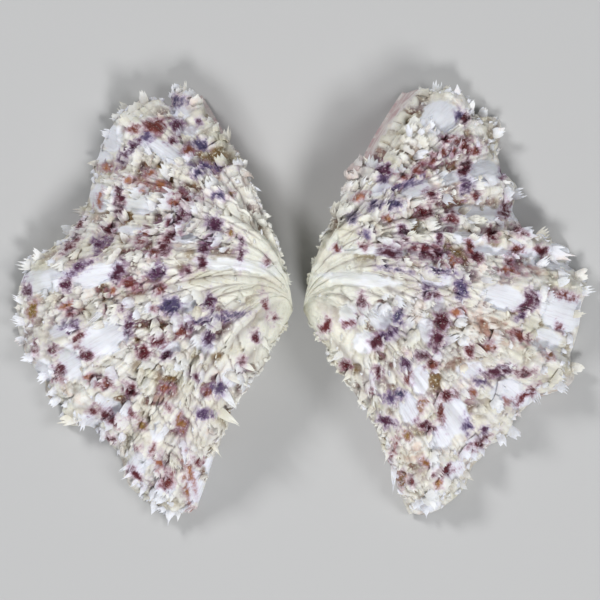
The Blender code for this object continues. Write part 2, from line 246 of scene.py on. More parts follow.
# Blotches: pixel x, y, width, height, rise in degrees, tone from 0 navy through plum to 1 ochre
BLOTCHES = {
    "left": (
        (132, 150, 28, 9, 45, 0.3), (148, 137, 11, 7, 30, 0.15), (156, 127, 20, 13, 0, 0.64),
        (134, 129, 10, 7, 0, 0.7), (177, 126, 11, 9, 0, 0.34), (172, 140, 9, 7, 0, 0.4),
        (190, 151, 9, 6, 0, 0.72), (201, 146, 13, 9, 0, 0.06), (179, 101, 13, 7, 0, 0.06),
        (200, 123, 6, 6, 0, 0.3), (120, 200, 8, 25, 0, 0.4), (100, 198, 4, 8, -20, 0.82),
        (127, 180, 10, 6, 0, 0.84), (144, 189, 10, 6, 0, 0.86), (161, 187, 9, 7, 0, 0.84),
        (106, 168, 7, 6, 0, 0.84), (152, 175, 8, 6, 0, 0.76), (80, 224, 5, 9, -30, 0.48),
        (110, 229, 10, 9, 0, 0.46), (146, 233, 5, 6, 0, 0.72), (71, 245, 14, 6, 48, 0.46),
        (99, 244, 6, 11, 0, 0.28), (107, 241, 8, 4, 0, 0.28), (141, 243, 6, 4, 0, 0.64),
        (184, 216, 12, 16, 0, 0.38), (175, 224, 14, 6, 0, 0.42), (177, 204, 12, 4, 0, 0.74),
        (190, 200, 16, 5, 10, 0.62), (169, 238, 10, 12, 0, 0.46), (165, 249, 11, 10, 30, 0.44),
        (158, 252, 9, 5, 20, 0.7), (180, 231, 6, 6, 0, 0.42), (181, 196, 14, 6, 0, 0.62),
        (215, 224, 13, 15, 0, 0.28), (209, 241, 10, 8, 0, 0.34), (206, 250, 7, 6, 0, 0.34),
        (197, 174, 10, 8, 0, 0.08), (220, 197, 10, 7, 20, 0.08), (210, 168, 17, 4, -5, 0.14),
        (231, 195, 6, 5, 0, 0.95), (230, 234, 6, 5, 0, 0.95), (242, 250, 5, 13, 0, 0.36),
        (267, 262, 5, 5, 0, 0.5), (203, 263, 8, 10, 0, 0.4), (81, 267, 20, 7, 28, 0.26),
        (120, 272, 9, 19, -25, 0.34), (68, 285, 12, 12, 0, 0.34), (133, 284, 15, 8, 8, 0.64),
        (114, 291, 8, 6, 0, 0.8), (28, 291, 5, 13, 8, 0.36), (32, 310, 8, 15, 0, 0.97),
        (66, 306, 8, 4, 30, 0.84), (71, 312, 7, 7, 0, 0.6), (105, 310, 7, 5, -20, 0.84),
        (122, 308, 8, 8, 0, 0.36), (129, 325, 8, 15, 0, 0.32), (159, 272, 15, 12, 0, 0.26),
        (189, 272, 9, 7, 20, 0.4), (160, 290, 10, 8, 0, 0.66), (172, 306, 19, 17, 0, 0.1),
        (210, 303, 9, 14, 0, 0.3), (156, 310, 5, 4, 0, 0.6), (266, 307, 3, 10, 15, 0.58),
        (274, 317, 4, 4, 0, 0.5), (73, 326, 16, 8, 10, 0.24), (79, 338, 8, 14, -18, 0.5),
        (88, 354, 15, 9, -30, 0.42), (54, 349, 10, 8, -30, 0.42), (35, 349, 4, 8, 0, 0.5),
        (59, 369, 10, 10, 0, 0.44), (57, 379, 8, 6, 0, 0.58), (90, 377, 6, 6, 0, 0.8),
        (189, 325, 10, 10, 0, 0.36), (181, 333, 16, 8, 0, 0.66), (219, 318, 30, 5, 8, 0.04),
        (256, 336, 6, 8, 0, 0.42), (209, 338, 9, 14, -15, 0.26), (160, 340, 14, 10, 0, 0.48),
        (146, 351, 12, 13, 0, 0.5), (168, 356, 10, 7, -20, 0.34), (197, 376, 10, 6, -30, 0.36),
        (243, 363, 5, 8, 0, 0.45), (106, 383, 15, 10, 0, 0.66), (131, 388, 11, 15, 10, 0.46),
        (220, 389, 13, 12, 0, 0.18), (166, 388, 8, 6, 0, 0.76), (206, 392, 8, 6, 0, 0.74),
        (169, 406, 6, 5, 0, 0.62), (108, 416, 21, 9, -42, 0.46), (92, 412, 6, 4, 0, 0.52),
        (133, 414, 7, 7, 0, 0.54), (110, 439, 10, 5, -25, 0.52), (205, 414, 13, 8, 0, 0.2),
        (181, 425, 7, 14, 0, 0.92), (141, 425, 8, 8, 0, 0.96), (139, 448, 5, 5, 0, 0.54),
        (153, 452, 6, 9, 0, 0.68), (158, 462, 5, 13, 10, 0.8), (137, 476, 15, 7, -38, 0.48),
        (198, 462, 8, 9, 0, 0.56), (190, 471, 3, 18, 10, 0.86), (187, 492, 2.5, 22, 8, 0.88),
        (166, 484, 14, 12, 0, 0.6), (168, 473, 8, 5, -20, 0.7),
    ),
    "right": (
        (459, 115, 9, 9, 0, 0.14), (464, 119, 9, 10, 0, 0.42), (464, 168, 9, 14, -15, 0.42),
        (465, 186, 9, 16, 0, 0.22), (504, 173, 6, 9, -20, 0.34), (384, 171, 13, 12, -25, 0.3),
        (381, 179, 11, 8, 0, 0.2), (430, 195, 13, 9, -25, 0.44), (405, 185, 20, 5, 22, 0.14),
        (394, 206, 13, 10, 0, 0.06), (375, 207, 10, 7, 0, 0.02), (360, 198, 11, 6, 20, 0.78),
        (352, 219, 8, 8, 0, 0.02), (387, 220, 8, 6, 0, 0.86), (423, 213, 13, 9, 0, 0.52),
        (451, 220, 10, 14, -10, 0.52), (504, 211, 7, 16, -15, 0.5), (489, 234, 13, 9, -25, 0.5),
        (520, 231, 13, 7, -35, 0.48), (438, 238, 7, 9, 0, 0.36), (401, 230, 8, 9, 0, 0.34),
        (367, 234, 9, 8, 0, 0.12), (364, 246, 6, 5, 0, 0.54), (336, 249, 5, 5, 0, 0.66),
        (401, 243, 10, 4, 0, 0.4), (389, 253, 18, 8, -20, 0.4), (429, 255, 21, 9, 10, 0.4),
        (422, 249, 18, 5, 0, 0.5), (468, 248, 8, 11, 0, 0.62), (474, 257, 12, 8, -45, 0.46),
        (516, 250, 9, 7, 0, 0.64), (508, 260, 6, 6, 0, 0.52), (541, 251, 10, 9, -20, 0.48),
        (451, 263, 9, 7, 0, 0.76), (391, 269, 16, 4, -10, 0.04), (438, 272, 14, 3.5, -5, 0.02),
        (429, 295, 13, 7, 0, 0.34), (426, 288, 12, 6, 0, 0.22), (460, 290, 11, 17, 0, 0.14),
        (531, 297, 10, 16, 15, 0.34), (525, 307, 16, 8, 40, 0.36), (520, 316, 10, 7, 30, 0.24),
        (564, 296, 16, 5, -12, 0.68), (559, 327, 6, 6, 0, 0.56), (519, 336, 16, 8, -15, 0.66),
        (456, 311, 11, 10, 0, 0.8), (362, 304, 7, 14, 0, 0.44), (326, 326, 8, 14, -15, 0.56),
        (348, 323, 7, 5, 0, 0.54), (397, 317, 9, 15, 0, 0.05), (376, 342, 11, 13, -15, 0.4),
        (388, 333, 16, 6, 25, 0.22), (440, 322, 13, 17, 10, 0.42), (436, 340, 12, 20, 0, 0.38),
        (434, 296, 9, 6, 0, 0.44), (468, 350, 8, 9, 0, 0.56), (487, 346, 12, 9, 0, 0.74),
        (406, 363, 7, 14, -5, 0.26), (422, 356, 9, 7, -20, 0.4), (431, 364, 9, 9, 0, 0.68),
        (407, 377, 6, 9, 0, 0.62), (377, 371, 8, 8, 0, 0.44), (346, 365, 7, 9, 0, 0.52),
        (369, 389, 5, 7, 0, 0.56), (495, 372, 24, 8, 16, 0.36), (479, 381, 14, 6, -10, 0.18),
        (525, 372, 15, 6, 0, 0.46), (390, 397, 13, 8, 0, 0.18), (399, 393, 8, 6, 0, 0.03),
        (447, 395, 15, 8, 20, 0.5), (471, 393, 5, 8, 0, 0.78), (525, 396, 18, 5, 42, 0.56),
        (508, 401, 7, 5, 0, 0.76), (440, 411, 5, 16, 10, 0.66), (386, 421, 15, 8, -20, 0.3),
        (425, 426, 15, 7, -25, 0.42), (467, 425, 5, 10, 10, 0.16), (478, 444, 24, 8, 40, 0.46),
        (485, 432, 7, 8, 0, 0.26), (406, 435, 7, 10, -15, 0.94), (422, 404, 6, 9, -10, 0.93),
        (425, 463, 8, 8, 0, 0.9), (438, 483, 8, 7, 0, 0.9), (402, 479, 6, 10, -10, 0.96),
        (444, 471, 18, 8, 12, 0.5), (411, 482, 7, 7, 0, 0.62), (393, 450, 3, 12, -20, 0.72),
        (403, 178, 12, 6, 0, 0.68), (416, 170, 11, 7, 20, 0.64), (433, 161, 10, 8, 30, 0.66),
        (443, 153, 9, 9, 20, 0.68), (453, 152, 7, 6, 0, 0.66), (464, 147, 11, 10, 0, 0.64),
        (476, 150, 9, 6, 0, 0.7), (457, 141, 16, 6, 0, 0.66), (444, 140, 6, 6, 0, 0.44),
        (475, 196, 8, 6, 0, 0.58), (548, 355, 7, 5, -20, 0.9), (450, 261, 7, 6, 0, 0.84),
        (508, 271, 14, 4, 0, 0.74),
    ),
}

# How far a blotch's edge is looked for, in pixels
BLOTCH_REACH = 12.0

# Broad faint stains under and between the scales, partly painted shade of the fold valleys: as the blotches,
# and how strong
STAINS_AND_SHADE = {
    "left": (
        (161, 128, 36, 24, 10, 0.68, 0.75), (184, 130, 24, 14, 0, 0.5, 0.35),
        (114, 167, 16, 12, 0, 0.84, 0.5), (151, 186, 34, 12, -10, 0.82, 0.55),
        (185, 203, 30, 16, 10, 0.68, 0.6), (136, 290, 70, 18, 8, 0.72, 0.6),
        (152, 347, 38, 18, -10, 0.66, 0.7), (188, 327, 28, 18, -10, 0.4, 0.5),
        (101, 381, 28, 20, 0, 0.72, 0.6), (170, 391, 14, 22, -20, 0.9, 0.6),
        (182, 426, 13, 20, 0, 0.92, 0.7), (144, 420, 16, 20, 0, 0.98, 0.5),
        (67, 388, 22, 16, 0, 0.98, 0.35), (31, 311, 14, 18, 0, 0.98, 0.6),
        (74, 311, 28, 14, 10, 0.84, 0.35), (169, 478, 18, 14, 0, 0.8, 0.4),
        (202, 412, 18, 20, 0, 0.13, 0.4), (140, 240, 60, 10, -5, 0.9, 0.25),
        (100, 258, 60, 8, 10, 0.72, 0.4), (178, 224, 34, 30, 0, 0.4, 0.35), (172, 300, 40, 30, 0, 0.2, 0.3),
    ),
    "right": (
        (437, 162, 92, 15, 22, 0.68, 0.8), (464, 275, 22, 24, 0, 0.26, 0.6),
        (458, 263, 44, 11, -5, 0.72, 0.75), (527, 271, 50, 10, -8, 0.76, 0.6),
        (500, 332, 86, 22, -22, 0.82, 0.5), (532, 352, 26, 14, -20, 0.98, 0.35),
        (568, 369, 10, 14, -40, 1.00, 0.5), (413, 453, 20, 18, 0, 0.82, 0.45),
        (418, 478, 18, 18, 0, 0.62, 0.4), (378, 228, 34, 24, 10, 0.98, 0.35),
        (438, 330, 30, 60, 0, 0.4, 0.45), (425, 250, 60, 14, 0, 0.34, 0.45),
        (415, 215, 50, 12, 15, 0.74, 0.45), (475, 203, 50, 8, 0, 0.8, 0.4),
        (395, 330, 40, 30, 0, 0.18, 0.35), (490, 232, 60, 8, -5, 0.76, 0.4),
        (450, 365, 60, 14, 10, 0.76, 0.35), (395, 395, 24, 24, 0, 0.2, 0.35),
    ),
}

# Anterior band without scales, seen beside the keel: its first angle and first stage
LUNULE_BAND = {"left": (62.5, 0.62), "right": (61.0, 0.5)}

# Colours that the tone of a blotch runs through: tone, red, green, blue
TONES = (
    (0.00, 0.034, 0.03, 0.075), (0.13, 0.095, 0.072, 0.165), (0.28, 0.078, 0.018, 0.052),
    (0.42, 0.076, 0.008, 0.018), (0.56, 0.12, 0.012, 0.016), (0.7, 0.165, 0.042, 0.026),
    (0.82, 0.42, 0.17, 0.085), (0.92, 0.29, 0.14, 0.035), (1.00, 0.24, 0.18, 0.05),
)

# Noises of the skin: how fine, in waves a metre, how many octaves and how rough
NOISES = {
    "tint": (130.0, 3.0, 0.55), "broad": (260.0, 3.0, 0.5), "torn": (750.0, 2.0, 0.5),
    "fine": (1500.0, 5.0, 0.65), "grain": (2700.0, 3.0, 0.6),
}
SKIN_SPECULAR = 0.22
SCATTER_SHARE = 0.12
SCATTER_REACH = 0.001
SCATTER_COLOUR = (1.0, 0.8, 0.6)

# Stage, in metres. A light: its place, its width and its share of the main lights' strength.
FLOOR_SIZE = 3.0
FLOOR_LEVEL = -0.0002
SKY_COLOUR = (0.9, 0.95, 1.0)
LIGHTS = {
    "upper_left": ((-0.55, 0.5, 0.65), 0.2, 1.0),
    "lower_middle": ((0.12, -0.6, 0.72), 0.2, 1.0),
    "overhead": ((0.55, 0.0, 0.8), 0.35, 0.55),
}
CLIP_END = 20.0

# Camera, in millimetres: its height, its sensor, and the level at which the photo's frame fits
CAMERA_HEIGHT = 1200.0
SENSOR_WIDTH = 36.0
FRAMED_LEVEL = 6.0


def colour_property(name, description, value):
    return bpy.props.FloatVectorProperty(
        name=name, description=description, subtype="COLOR", size=3, min=0.0, max=1.0, default=value
    )


def number_property(name, description, value, low=0.0, **more):
    return bpy.props.FloatProperty(name=name, description=description, default=value, min=low, **more)


class ShellForm(bpy.types.PropertyGroup):
    """Sizes of a valve, in millimetres, that the solids share."""

    depth: number_property("Depth", "Height of a valve's dome over the margin, in mm", 23.0)
    rib_height: number_property("Riblet height", "Height of the fine ribs, in mm", 0.52)
    crust: number_property("Crust", "Roughness of the rough parts, in mm", 0.26)
    ledge: number_property("Ledge height", "Height of a growth ledge at its outer edge, in mm", 0.55)
    lump: number_property("Lumps", "Height of the lumps of the rough parts, in mm", 0.7)
    seed: bpy.props.IntProperty(name="Seed", description="Start of the random draws", default=7)


class ShellScales(bpy.types.PropertyGroup):
    """Sizes of the scales."""

    length: number_property("Length", "Length of a riblet scale near the margin, in mm", 2.2, 0.1)
    width: number_property("Width", "Width of a scale as a share of its riblet's", 1.3, 0.1)
    lean: number_property(
        "Lean", "Angle between a scale and the wall under it", math.radians(42), subtype="ANGLE"
    )
    kept: number_property("Kept", "Share of the scales that are whole", 0.46, max=1.0, subtype="FACTOR")


class ShellColours(bpy.types.PropertyGroup):
    """Colours of the shell, apart from the blotches."""

    bare: colour_property("Bare fields", "Porcelain white of the smooth fields", (0.87, 0.89, 0.95))
    cream: colour_property("Cream", "Colour of the scales and the rough wall", (0.87, 0.85, 0.75))
    pale: colour_property("Pale", "Lighter colour of the scales", (0.94, 0.94, 0.90))
    # Valley and mauve: brown staining mixed with painted shade in the hollows and at the roots of the scales
    valley: colour_property("Valley", "Tan between the scales", (0.22, 0.135, 0.05))
    shade: colour_property("Shade", "Grey lilac of the shaded clouds", (0.58, 0.54, 0.57))
    # Painted shade in the grooves between the cords
    groove_shade: colour_property("Grooves", "Greyish lilac brown between the cords", (0.34, 0.29, 0.30))
    mauve: colour_property("Mauve", "Mauve brown between the scales", (0.17, 0.08, 0.09))
    peach: colour_property("Peach", "Warm tint of some scales", (0.86, 0.64, 0.50))
    haze: colour_property("Haze", "Wide soft edge of the blotches", (0.56, 0.44, 0.62))
    halo: colour_property("Halo", "Violet edge of the blotches", (0.27, 0.17, 0.40))
    rose: colour_property("Rose", "Pink edge of the wine and red blotches", (0.50, 0.22, 0.26))
    straw: colour_property("Straw", "Yellowish specks of the rough parts", (0.58, 0.50, 0.30))
    umbo: colour_property("Umbo", "Greenish crust of the oldest part", (0.70, 0.71, 0.57))
    lunule: colour_property("Lunule", "Pinkish mauve of the bare anterior band", (0.46, 0.29, 0.31))
    keel: colour_property("Keel", "Plain tan of the bare anterior band", (0.60, 0.53, 0.47))
    inside: colour_property("Inside", "Porcelain of the hollow", (0.84, 0.82, 0.78))


class StageSettings(bpy.types.PropertyGroup):
    """Floor and light."""

    floor: colour_property("Floor", "Colour of the floor", (0.50, 0.50, 0.50))
    light: number_property("Light", "Strength of each of the two main lights", 4.8, unit="POWER")
    world: number_property("Surroundings", "Strength of the even light from all round", 0.17)


def smooth_curve(points, x):
    """Cubic through given points, each slope taken from the two neighbours."""
    at, value = np.array(points, float).T
    slope = np.gradient(value, at)
    i = np.clip(np.searchsorted(at, x) - 1, 0, len(at) - 2)
    span = at[i + 1] - at[i]
    t = (x - at[i]) / span
    start = (1 + 2 * t) * (1 - t) ** 2 * value[i] + t * (1 - t) ** 2 * span * slope[i]
    end = t * t * (3 - 2 * t) * value[i + 1] + t * t * (t - 1) * span * slope[i + 1]
    return start + end


def ease(x):
    """0 below 0, 1 above 1, and smooth between."""
    x = np.clip(x, 0.0, 1.0)
    return x * x * (3 - 2 * x)


def bumps(rows, angle):
    """Sum of round-topped bumps: height times cosine squared of the distance from the centre."""
    total = np.zeros_like(angle)
    for centre, half, height in rows:
        reach = np.clip(np.abs(angle - centre) / half, 0.0, 1.0)
        total += height * np.cos(reach * math.pi / 2) ** 2
    return total


def unit(vectors):
    return vectors / np.maximum(np.linalg.norm(vectors, axis=-1, keepdims=True), 1e-9)


def lattice_noise(points, seed):
    """Value noise from -1 to 1: random values on a unit lattice, blended smoothly between."""
    side = 32
    table = np.random.default_rng(seed).uniform(-1, 1, (side, side, side))
    low = np.floor(points).astype(int)
    share = ease(points - low)
    total = np.zeros(points.shape[:-1])
    for corner in range(8):
        step = np.array([corner & 1, corner >> 1 & 1, corner >> 2 & 1])
        weight = np.prod(np.where(step, share, 1 - share), axis=-1)
        i, j, k = np.moveaxis((low + step) % side, -1, 0)
        total += weight * table[i, j, k]
    return total


def rim_height(side, angle):
    """Height of the margin: it arches over each fold and touches down between them."""
    arch = MARGIN_ARCH * np.clip(bumps(FOLDS[side], angle) / 2.2, 0.0, 1.0)
    ends = ease((angle - ANTERIOR_ANGLE[side] + 3) / 3) + ease((POSTERIOR_ANGLE[side] + 3 - angle) / 3)
    return np.maximum(arch, END_LIFT * ends)


def smooth_form(side, angle, stage):
    """A valve without its folds, the same surface as the solids have.

    In plan a rib runs to its margin point with a power of the stage, and is swept towards the
    anterior end near the umbo. Height is the depth times a dome that falls to the margin.
    """
    last, first = POSTERIOR_ANGLE[side], ANTERIOR_ANGLE[side]
    across = (angle - last) / (first - last)
    reach = smooth_curve(MARGIN_REACH, angle) + bumps(TONGUES[side], angle) * stage**6
    turn = np.radians(angle)
    window = ease(across / SWEEP_ENDS[0]) * ease((1 - across) / SWEEP_ENDS[1])
    x = reach * np.cos(turn) * stage ** smooth_curve(VENTRAL_PACE, across)
    x = x + HINGE_BOW * ease(1 - across / 0.25) * np.sin(math.pi * stage) ** 2
    y = reach * np.sin(turn) * stage ** smooth_curve(ANTERIOR_PACE, across)
    y = y + UMBO_SWEEP * window * np.sin(math.pi * stage**SWEEP_PACE)
    rise = np.sqrt(1 - (1 - np.clip(stage / BEAK_TURN, 0, 1)) ** 2)
    share = BEAK_SHARE + (smooth_curve(DOME_SHARE, across) - BEAK_SHARE) * rise
    drop = 1 - KEEL_DROP * ease((stage - 0.4) / 0.4) * ease((angle - 60) / 5)
    dome = (1 - np.clip(stage, 0, 1) ** DOME_POWER) ** DOME_ROUND
    depth = bpy.context.scene.shell_form.depth
    z = depth * share * drop * dome + rim_height(side, angle) * stage**8
    return np.stack([x, y, z], axis=-1)


def local_frame(side, angle, stage):
    """Unit vectors across the ribs, along them and out of the wall, and the width of a degree."""
    turn, grow = 0.25, 0.004
    at = np.clip(stage, 0.012, 1 - grow)
    across = smooth_form(side, angle - turn, at) - smooth_form(side, angle + turn, at)
    along = smooth_form(side, angle, at + grow) - smooth_form(side, angle, at - grow)
    degree = np.linalg.norm(across, axis=-1) / (2 * turn)
    out = unit(np.cross(across, along))
    out = np.where(out[..., 2:] < 0, -out, out)
    along = unit(along)
    return unit(across), along, out, degree


def to_world(side, points):
    """From a valve's plan to the pair's place in the row frame, in millimetres."""
    place = np.array([*UMBO_PLACE[side], 0.0])
    return points * np.array([VENTRAL_WAY[side], 1.0, 1.0]) + place


def to_pixels(side, points):
    world = to_world(side, points)
    return ORIGIN_PIXEL[0] + world[..., 0] / PIXEL, ORIGIN_PIXEL[1] - world[..., 1] / PIXEL


def inside_ellipses(rows, x, y, reach):
    """For each point, the deepest distance inside any ellipse, in pixels, and that ellipse's row."""
    best = np.full(x.shape, -reach)
    which = np.zeros(x.shape, int)
    for number, row in enumerate(rows):
        cx, cy, width, height, rise = row[:5]
        turn = math.radians(rise)
        u = (x - cx) * math.cos(turn) - (y - cy) * math.sin(turn)
        v = (x - cx) * math.sin(turn) + (y - cy) * math.cos(turn)
        ratio = np.hypot(u / (width / 2), v / (height / 2))
        inside = (1 - ratio) * min(width, height) / 2
        nearer = inside > best
        best = np.where(nearer, inside, best)
        which = np.where(nearer, number, which)
    return best, which


def fold_valley(side, angle, stage):
    """1 in the valleys between the folds and 0 on the folds; 0 at the umbo, where there are none."""
    return (1 - np.clip(bumps(FOLDS[side], angle) / 1.6, 0, 1)) * ease((stage - 0.1) / 0.2)


def bareness(side, points, angle, stage):
    """1 on the bare fields and the lunule's band, 0 on the scaly parts."""
    x, y = to_pixels(side, points)
    jitter = 1.6 * lattice_noise(np.stack([x, y, 0 * x], axis=-1) / 4.0, 5)
    depth, _ = inside_ellipses(BARE_FIELDS[side], x, y, FIELD_REACH)
    first, begin = LUNULE_BAND[side]
    band = ease((angle - first) / 1.0) * ease((stage - begin) / 0.12)
    return np.maximum(ease((depth + jitter + FIELD_FADE) / FIELD_FADE), band)


def riblet_pitch(side):
    """Degrees from one riblet of the margin to the next."""
    return (ANTERIOR_ANGLE[side] - POSTERIOR_ANGLE[side]) / RIBLETS


def cord_number(side, angle, stage):
    """Number of the cord that a place is on, and how many riblets of the margin it stands for."""
    step = 2 ** (np.asarray(stage)[..., None] < np.array(SPLIT_STAGES)).sum(axis=-1)
    riblet = np.floor((angle - POSTERIOR_ANGLE[side]) / riblet_pitch(side)).astype(int)
    return np.clip(riblet, 0, RIBLETS - 1) // step, step


def riblet_profile(side, angle, stage):
    """Rounded cords: a few wide ones near the umbo, each splitting in two again and again."""
    phase = (angle - POSTERIOR_ANGLE[side]) / riblet_pitch(side)
    number = np.floor(phase).astype(int) % RIBLETS
    uneven = np.random.default_rng(3).uniform(0.5, 1.2, RIBLETS)
    begun = [1.0, *(ease((stage - split + 0.06) / 0.12) for split in SPLIT_STAGES), 0.0]
    total = np.zeros_like(stage)
    for splits, (here, after) in enumerate(zip(begun, begun[1:])):
        step = 2 ** (len(SPLIT_STAGES) - splits)
        wave = np.abs(np.sin(math.pi * phase / step)) ** 0.7
        total += (here - after) * wave * uneven[number // step] * (0.75 + 0.09 * step)
    return total


def ledge_share(side, angle, stage, points):
    """Share of the way across a growth ledge, from 0 at its inner edge to 1 at its outer edge."""
    line = np.stack([angle / 6.0, 0 * angle, 0 * angle], axis=-1)
    number, _ = cord_number(side, angle, stage)
    own = np.random.default_rng(23).uniform(-0.3, 0.3, RIBLETS)[number]
    wobble = 0.9 * lattice_noise(line, 13) + 0.3 * lattice_noise(points / 3.5, 14) + own
    return (stage**1.15 * LEDGES + wobble) % 1.0


def lump_share(points):
    """1 on the lumps of the crust and 0 in the hollows between them."""
    return ease((lattice_noise(points / 2.0, 31) + 0.42) / 0.42)


def outside(side, angle, stage):
    """The finished outside: the smooth form with folds, riblets, growth steps and crust on it."""
    form = bpy.context.scene.shell_form
    points = smooth_form(side, angle, stage)
    _, _, out, _ = local_frame(side, angle, stage)
    bare = bareness(side, points, angle, stage)
    folds = bumps(FOLDS[side], angle) * stage**0.9 * (1 - stage**12)
    fade = ease(stage / 0.08) * (1 - stage**30)
    riblets = form.rib_height * riblet_profile(side, angle, stage) * stage**0.15 * (1 - 0.7 * bare)
    riblets = riblets * (1 - 0.3 * ease((stage - 0.6) / 0.3))
    share = ledge_share(side, angle, stage, points)
    steps = form.ledge * share**1.5 * (1 - 0.94 * bare) * ease((stage - 0.12) / 0.25)
    rough = lattice_noise(points / 1.2, 1) + 0.55 * lattice_noise(points / 0.6, 2)
    crust = form.crust * rough * (1 - 0.93 * bare) * (0.65 + 0.35 * ease((stage - 0.2) / 0.3))
    lumps = form.lump * lump_share(points) * (1 - 0.95 * bare) * ease((stage - 0.02) / 0.2)
    return points + out * (folds + fade * (riblets + steps + lumps + crust))[..., None]


def side_face(ridge, base, outward):
    """Columns from a ridge down to its line on the resting plane, with a sine bulge between."""
    share = (np.arange(1, SIDE_COLUMNS + 1) / (SIDE_COLUMNS + 1))[:, None, None]
    bulge = SIDE_BULGE * np.sin(math.pi * share) * np.array(outward)
    ends = np.ones(len(ridge))
    ends[[0, -1]] = 0
    columns = ridge + (base - ridge) * share + bulge * ends[None, :, None]
    return np.concatenate([columns, base[None]])


def base_line(ridge, inset, inward, fade):
    """Line on the resting plane under a ridge: from the hinge point out to the ridge's end."""
    stage = np.linspace(0, 1, len(ridge))
    start = ease(stage / 0.25)[:, None]
    shift = inset * fade(stage)[:, None] * np.array(inward)
    offset = (1 - start) * np.array(HINGE_POINT) + start * shift
    base = np.zeros((len(ridge), 3))
    base[:, :2] = ridge[:, :2] + offset
    return base


def plan_grid(side, columns, rows):
    """Angles and stages of a grid over a valve, anterior to posterior and umbo to margin."""
    angle = np.linspace(ANTERIOR_ANGLE[side], POSTERIOR_ANGLE[side], columns)
    return np.meshgrid(angle, np.linspace(0, 1, rows), indexing="ij")


def outer_grid(side):
    """Points, angles and stages of the whole outside, lunule base to hinge base, umbo to margin."""
    angle, stage = plan_grid(side, COLUMNS + 1, ROWS + 1)
    body = outside(side, angle, stage)
    line = stage[0]
    front_ridge = smooth_form(side, np.full_like(line, ANTERIOR_ANGLE[side]), line)
    back_ridge = smooth_form(side, np.full_like(line, POSTERIOR_ANGLE[side]), line)
    front = base_line(front_ridge, LUNULE_INSET, (0.91, -0.4), lambda s: 1 - ease((s - 0.35) / 0.4))
    back = base_line(back_ridge, HINGE_INSET, (0.88, 0.48), lambda s: np.sqrt(1 - s))
    lunule = side_face(body[0], front, (-0.91, 0.4, 0.0))
    hinge = side_face(body[-1], back, (-0.88, -0.48, 0.0))
    points = np.concatenate([lunule[::-1], body, hinge])
    extra = SIDE_COLUMNS + 1
    angles = np.concatenate([angle[:1].repeat(extra, 0) + 4, angle, angle[-1:].repeat(extra, 0) - 4])
    stages = np.concatenate([stage[:1].repeat(extra, 0), stage, stage[:1].repeat(extra, 0)])
    return points, angles, stages


def rim_loop(grid):
    """Rows of a grid's border in order: up the first column, along the last row, down the last column."""
    return np.concatenate([grid[0, :-1], grid[:, -1], grid[-1, -2:0:-1]])


def blurred(values, passes):
    """Values round a closed loop, each pass averaging a point with its neighbours."""
    for _ in range(passes):
        values = (np.roll(values, 1, 0) + 2 * values + np.roll(values, -1, 0)) / 4
    return values


def roof_map(side):
    """Height of the smooth outside over the plan, on a quarter-millimetre raster, and its slope."""
    cell, margin = 0.25, 60.0
    points = smooth_form(side, *plan_grid(side, 900, 600)).reshape(-1, 3)
    size = int(2 * margin / cell)
    heights = np.zeros((size, size))
    i, j = ((points[:, :2] + margin) / cell).astype(int).T
    np.maximum.at(heights, (i, j), points[:, 2])
    for _ in range(2):
        heights = (heights + np.roll(heights, 1, 0) + np.roll(heights, -1, 0)) / 3
        heights = (heights + np.roll(heights, 1, 1) + np.roll(heights, -1, 1)) / 3
    slope = np.hypot(*np.gradient(heights, cell))
    return heights, slope, cell, margin


def below_roof(roof, points):
    """Lowers points of the hollow so that the wall keeps its thickness over them, with a soft blend."""
    heights, slope, cell, margin = roof
    i, j = np.moveaxis(((points[..., :2] + margin) / cell).astype(int), -1, 0)
    steep = np.minimum(np.sqrt(1 + slope[i, j] ** 2), 1 / 0.35)
    limit = heights[i, j] - ROOF_THICKNESS * steep
    out = points.copy()
    out[..., 2] = np.maximum((points[..., 2] + limit - np.hypot(points[..., 2] - limit, ROOF_BLEND)) / 2, 0)
    return out


def underside(side, loop, on_margin, along):
    """Rings from the rim to the hollow's middle: a strip, then a bowl kept below the roof.

    The bowl's height is its depth times one minus a power of the distance from its middle, and
    the folds of the outside show in it near the margin. The hinge strip has shallow sockets.
    """
    centre = np.array(HOLLOW_CENTRE)
    tangent = blurred(np.roll(loop, -1, 0) - np.roll(loop, 1, 0), 60)[:, :2]
    inward = unit(np.stack([tangent[:, 1], -tangent[:, 0]], axis=1))
    to_centre = unit(centre - loop[:, :2])
    share = blurred(on_margin.astype(float), 300)
    thickness = SIDE_THICKNESS + (MARGIN_THICKNESS - SIDE_THICKNESS) * share
    steep = np.maximum((to_centre * inward).sum(axis=1), 0.6)
    edge = loop.copy()
    edge[:, :2] += to_centre * (thickness / steep)[:, None]
    edge[:, 2] = blurred(edge[:, 2], 6) * (edge[:, 2] > 0)
    share_in = np.linspace(0, 1, RIM_ROWS + 1)[:, None, None]
    strip = loop + (edge - loop) * share_in
    socket = ease((0.5 - np.abs(share_in[..., 0] - 0.55)) / 0.3)
    teeth = ease(np.sin(along * 150.0) * 1.5) * ease((0.30 - np.abs(along - 0.32)) / 0.05)
    strip[..., 2] += 0.7 * socket * teeth * (1 - on_margin)

    angle = np.degrees(np.arctan2(loop[:, 1], loop[:, 0]))
    fold = bumps(FOLDS[side], angle) * HOLLOW_FOLD_SHARE * on_margin
    gradual = blurred(on_margin.astype(float), 1500)
    power = HOLLOW_ROUND_SIDE + (HOLLOW_ROUND_VENTRAL - HOLLOW_ROUND_SIDE) * gradual
    reach = 1 - (np.arange(1, HOLLOW_ROWS + 1) / HOLLOW_ROWS)[:, None] ** 1.2
    bowl = np.zeros((HOLLOW_ROWS, len(loop), 3))
    soft = blurred(edge[:, :2], 600)
    ring = soft + (edge[:, :2] - soft) * reach[..., None] ** 2
    bowl[..., :2] = centre + (ring - centre) * reach[..., None]
    bowl[..., 2] = edge[:, 2] * reach**6 + HOLLOW_DEPTH * (1 - reach**power)
    bowl = below_roof(roof_map(side), bowl)
    bowl[..., 2] += fold * reach**3
    return np.concatenate([strip, bowl])


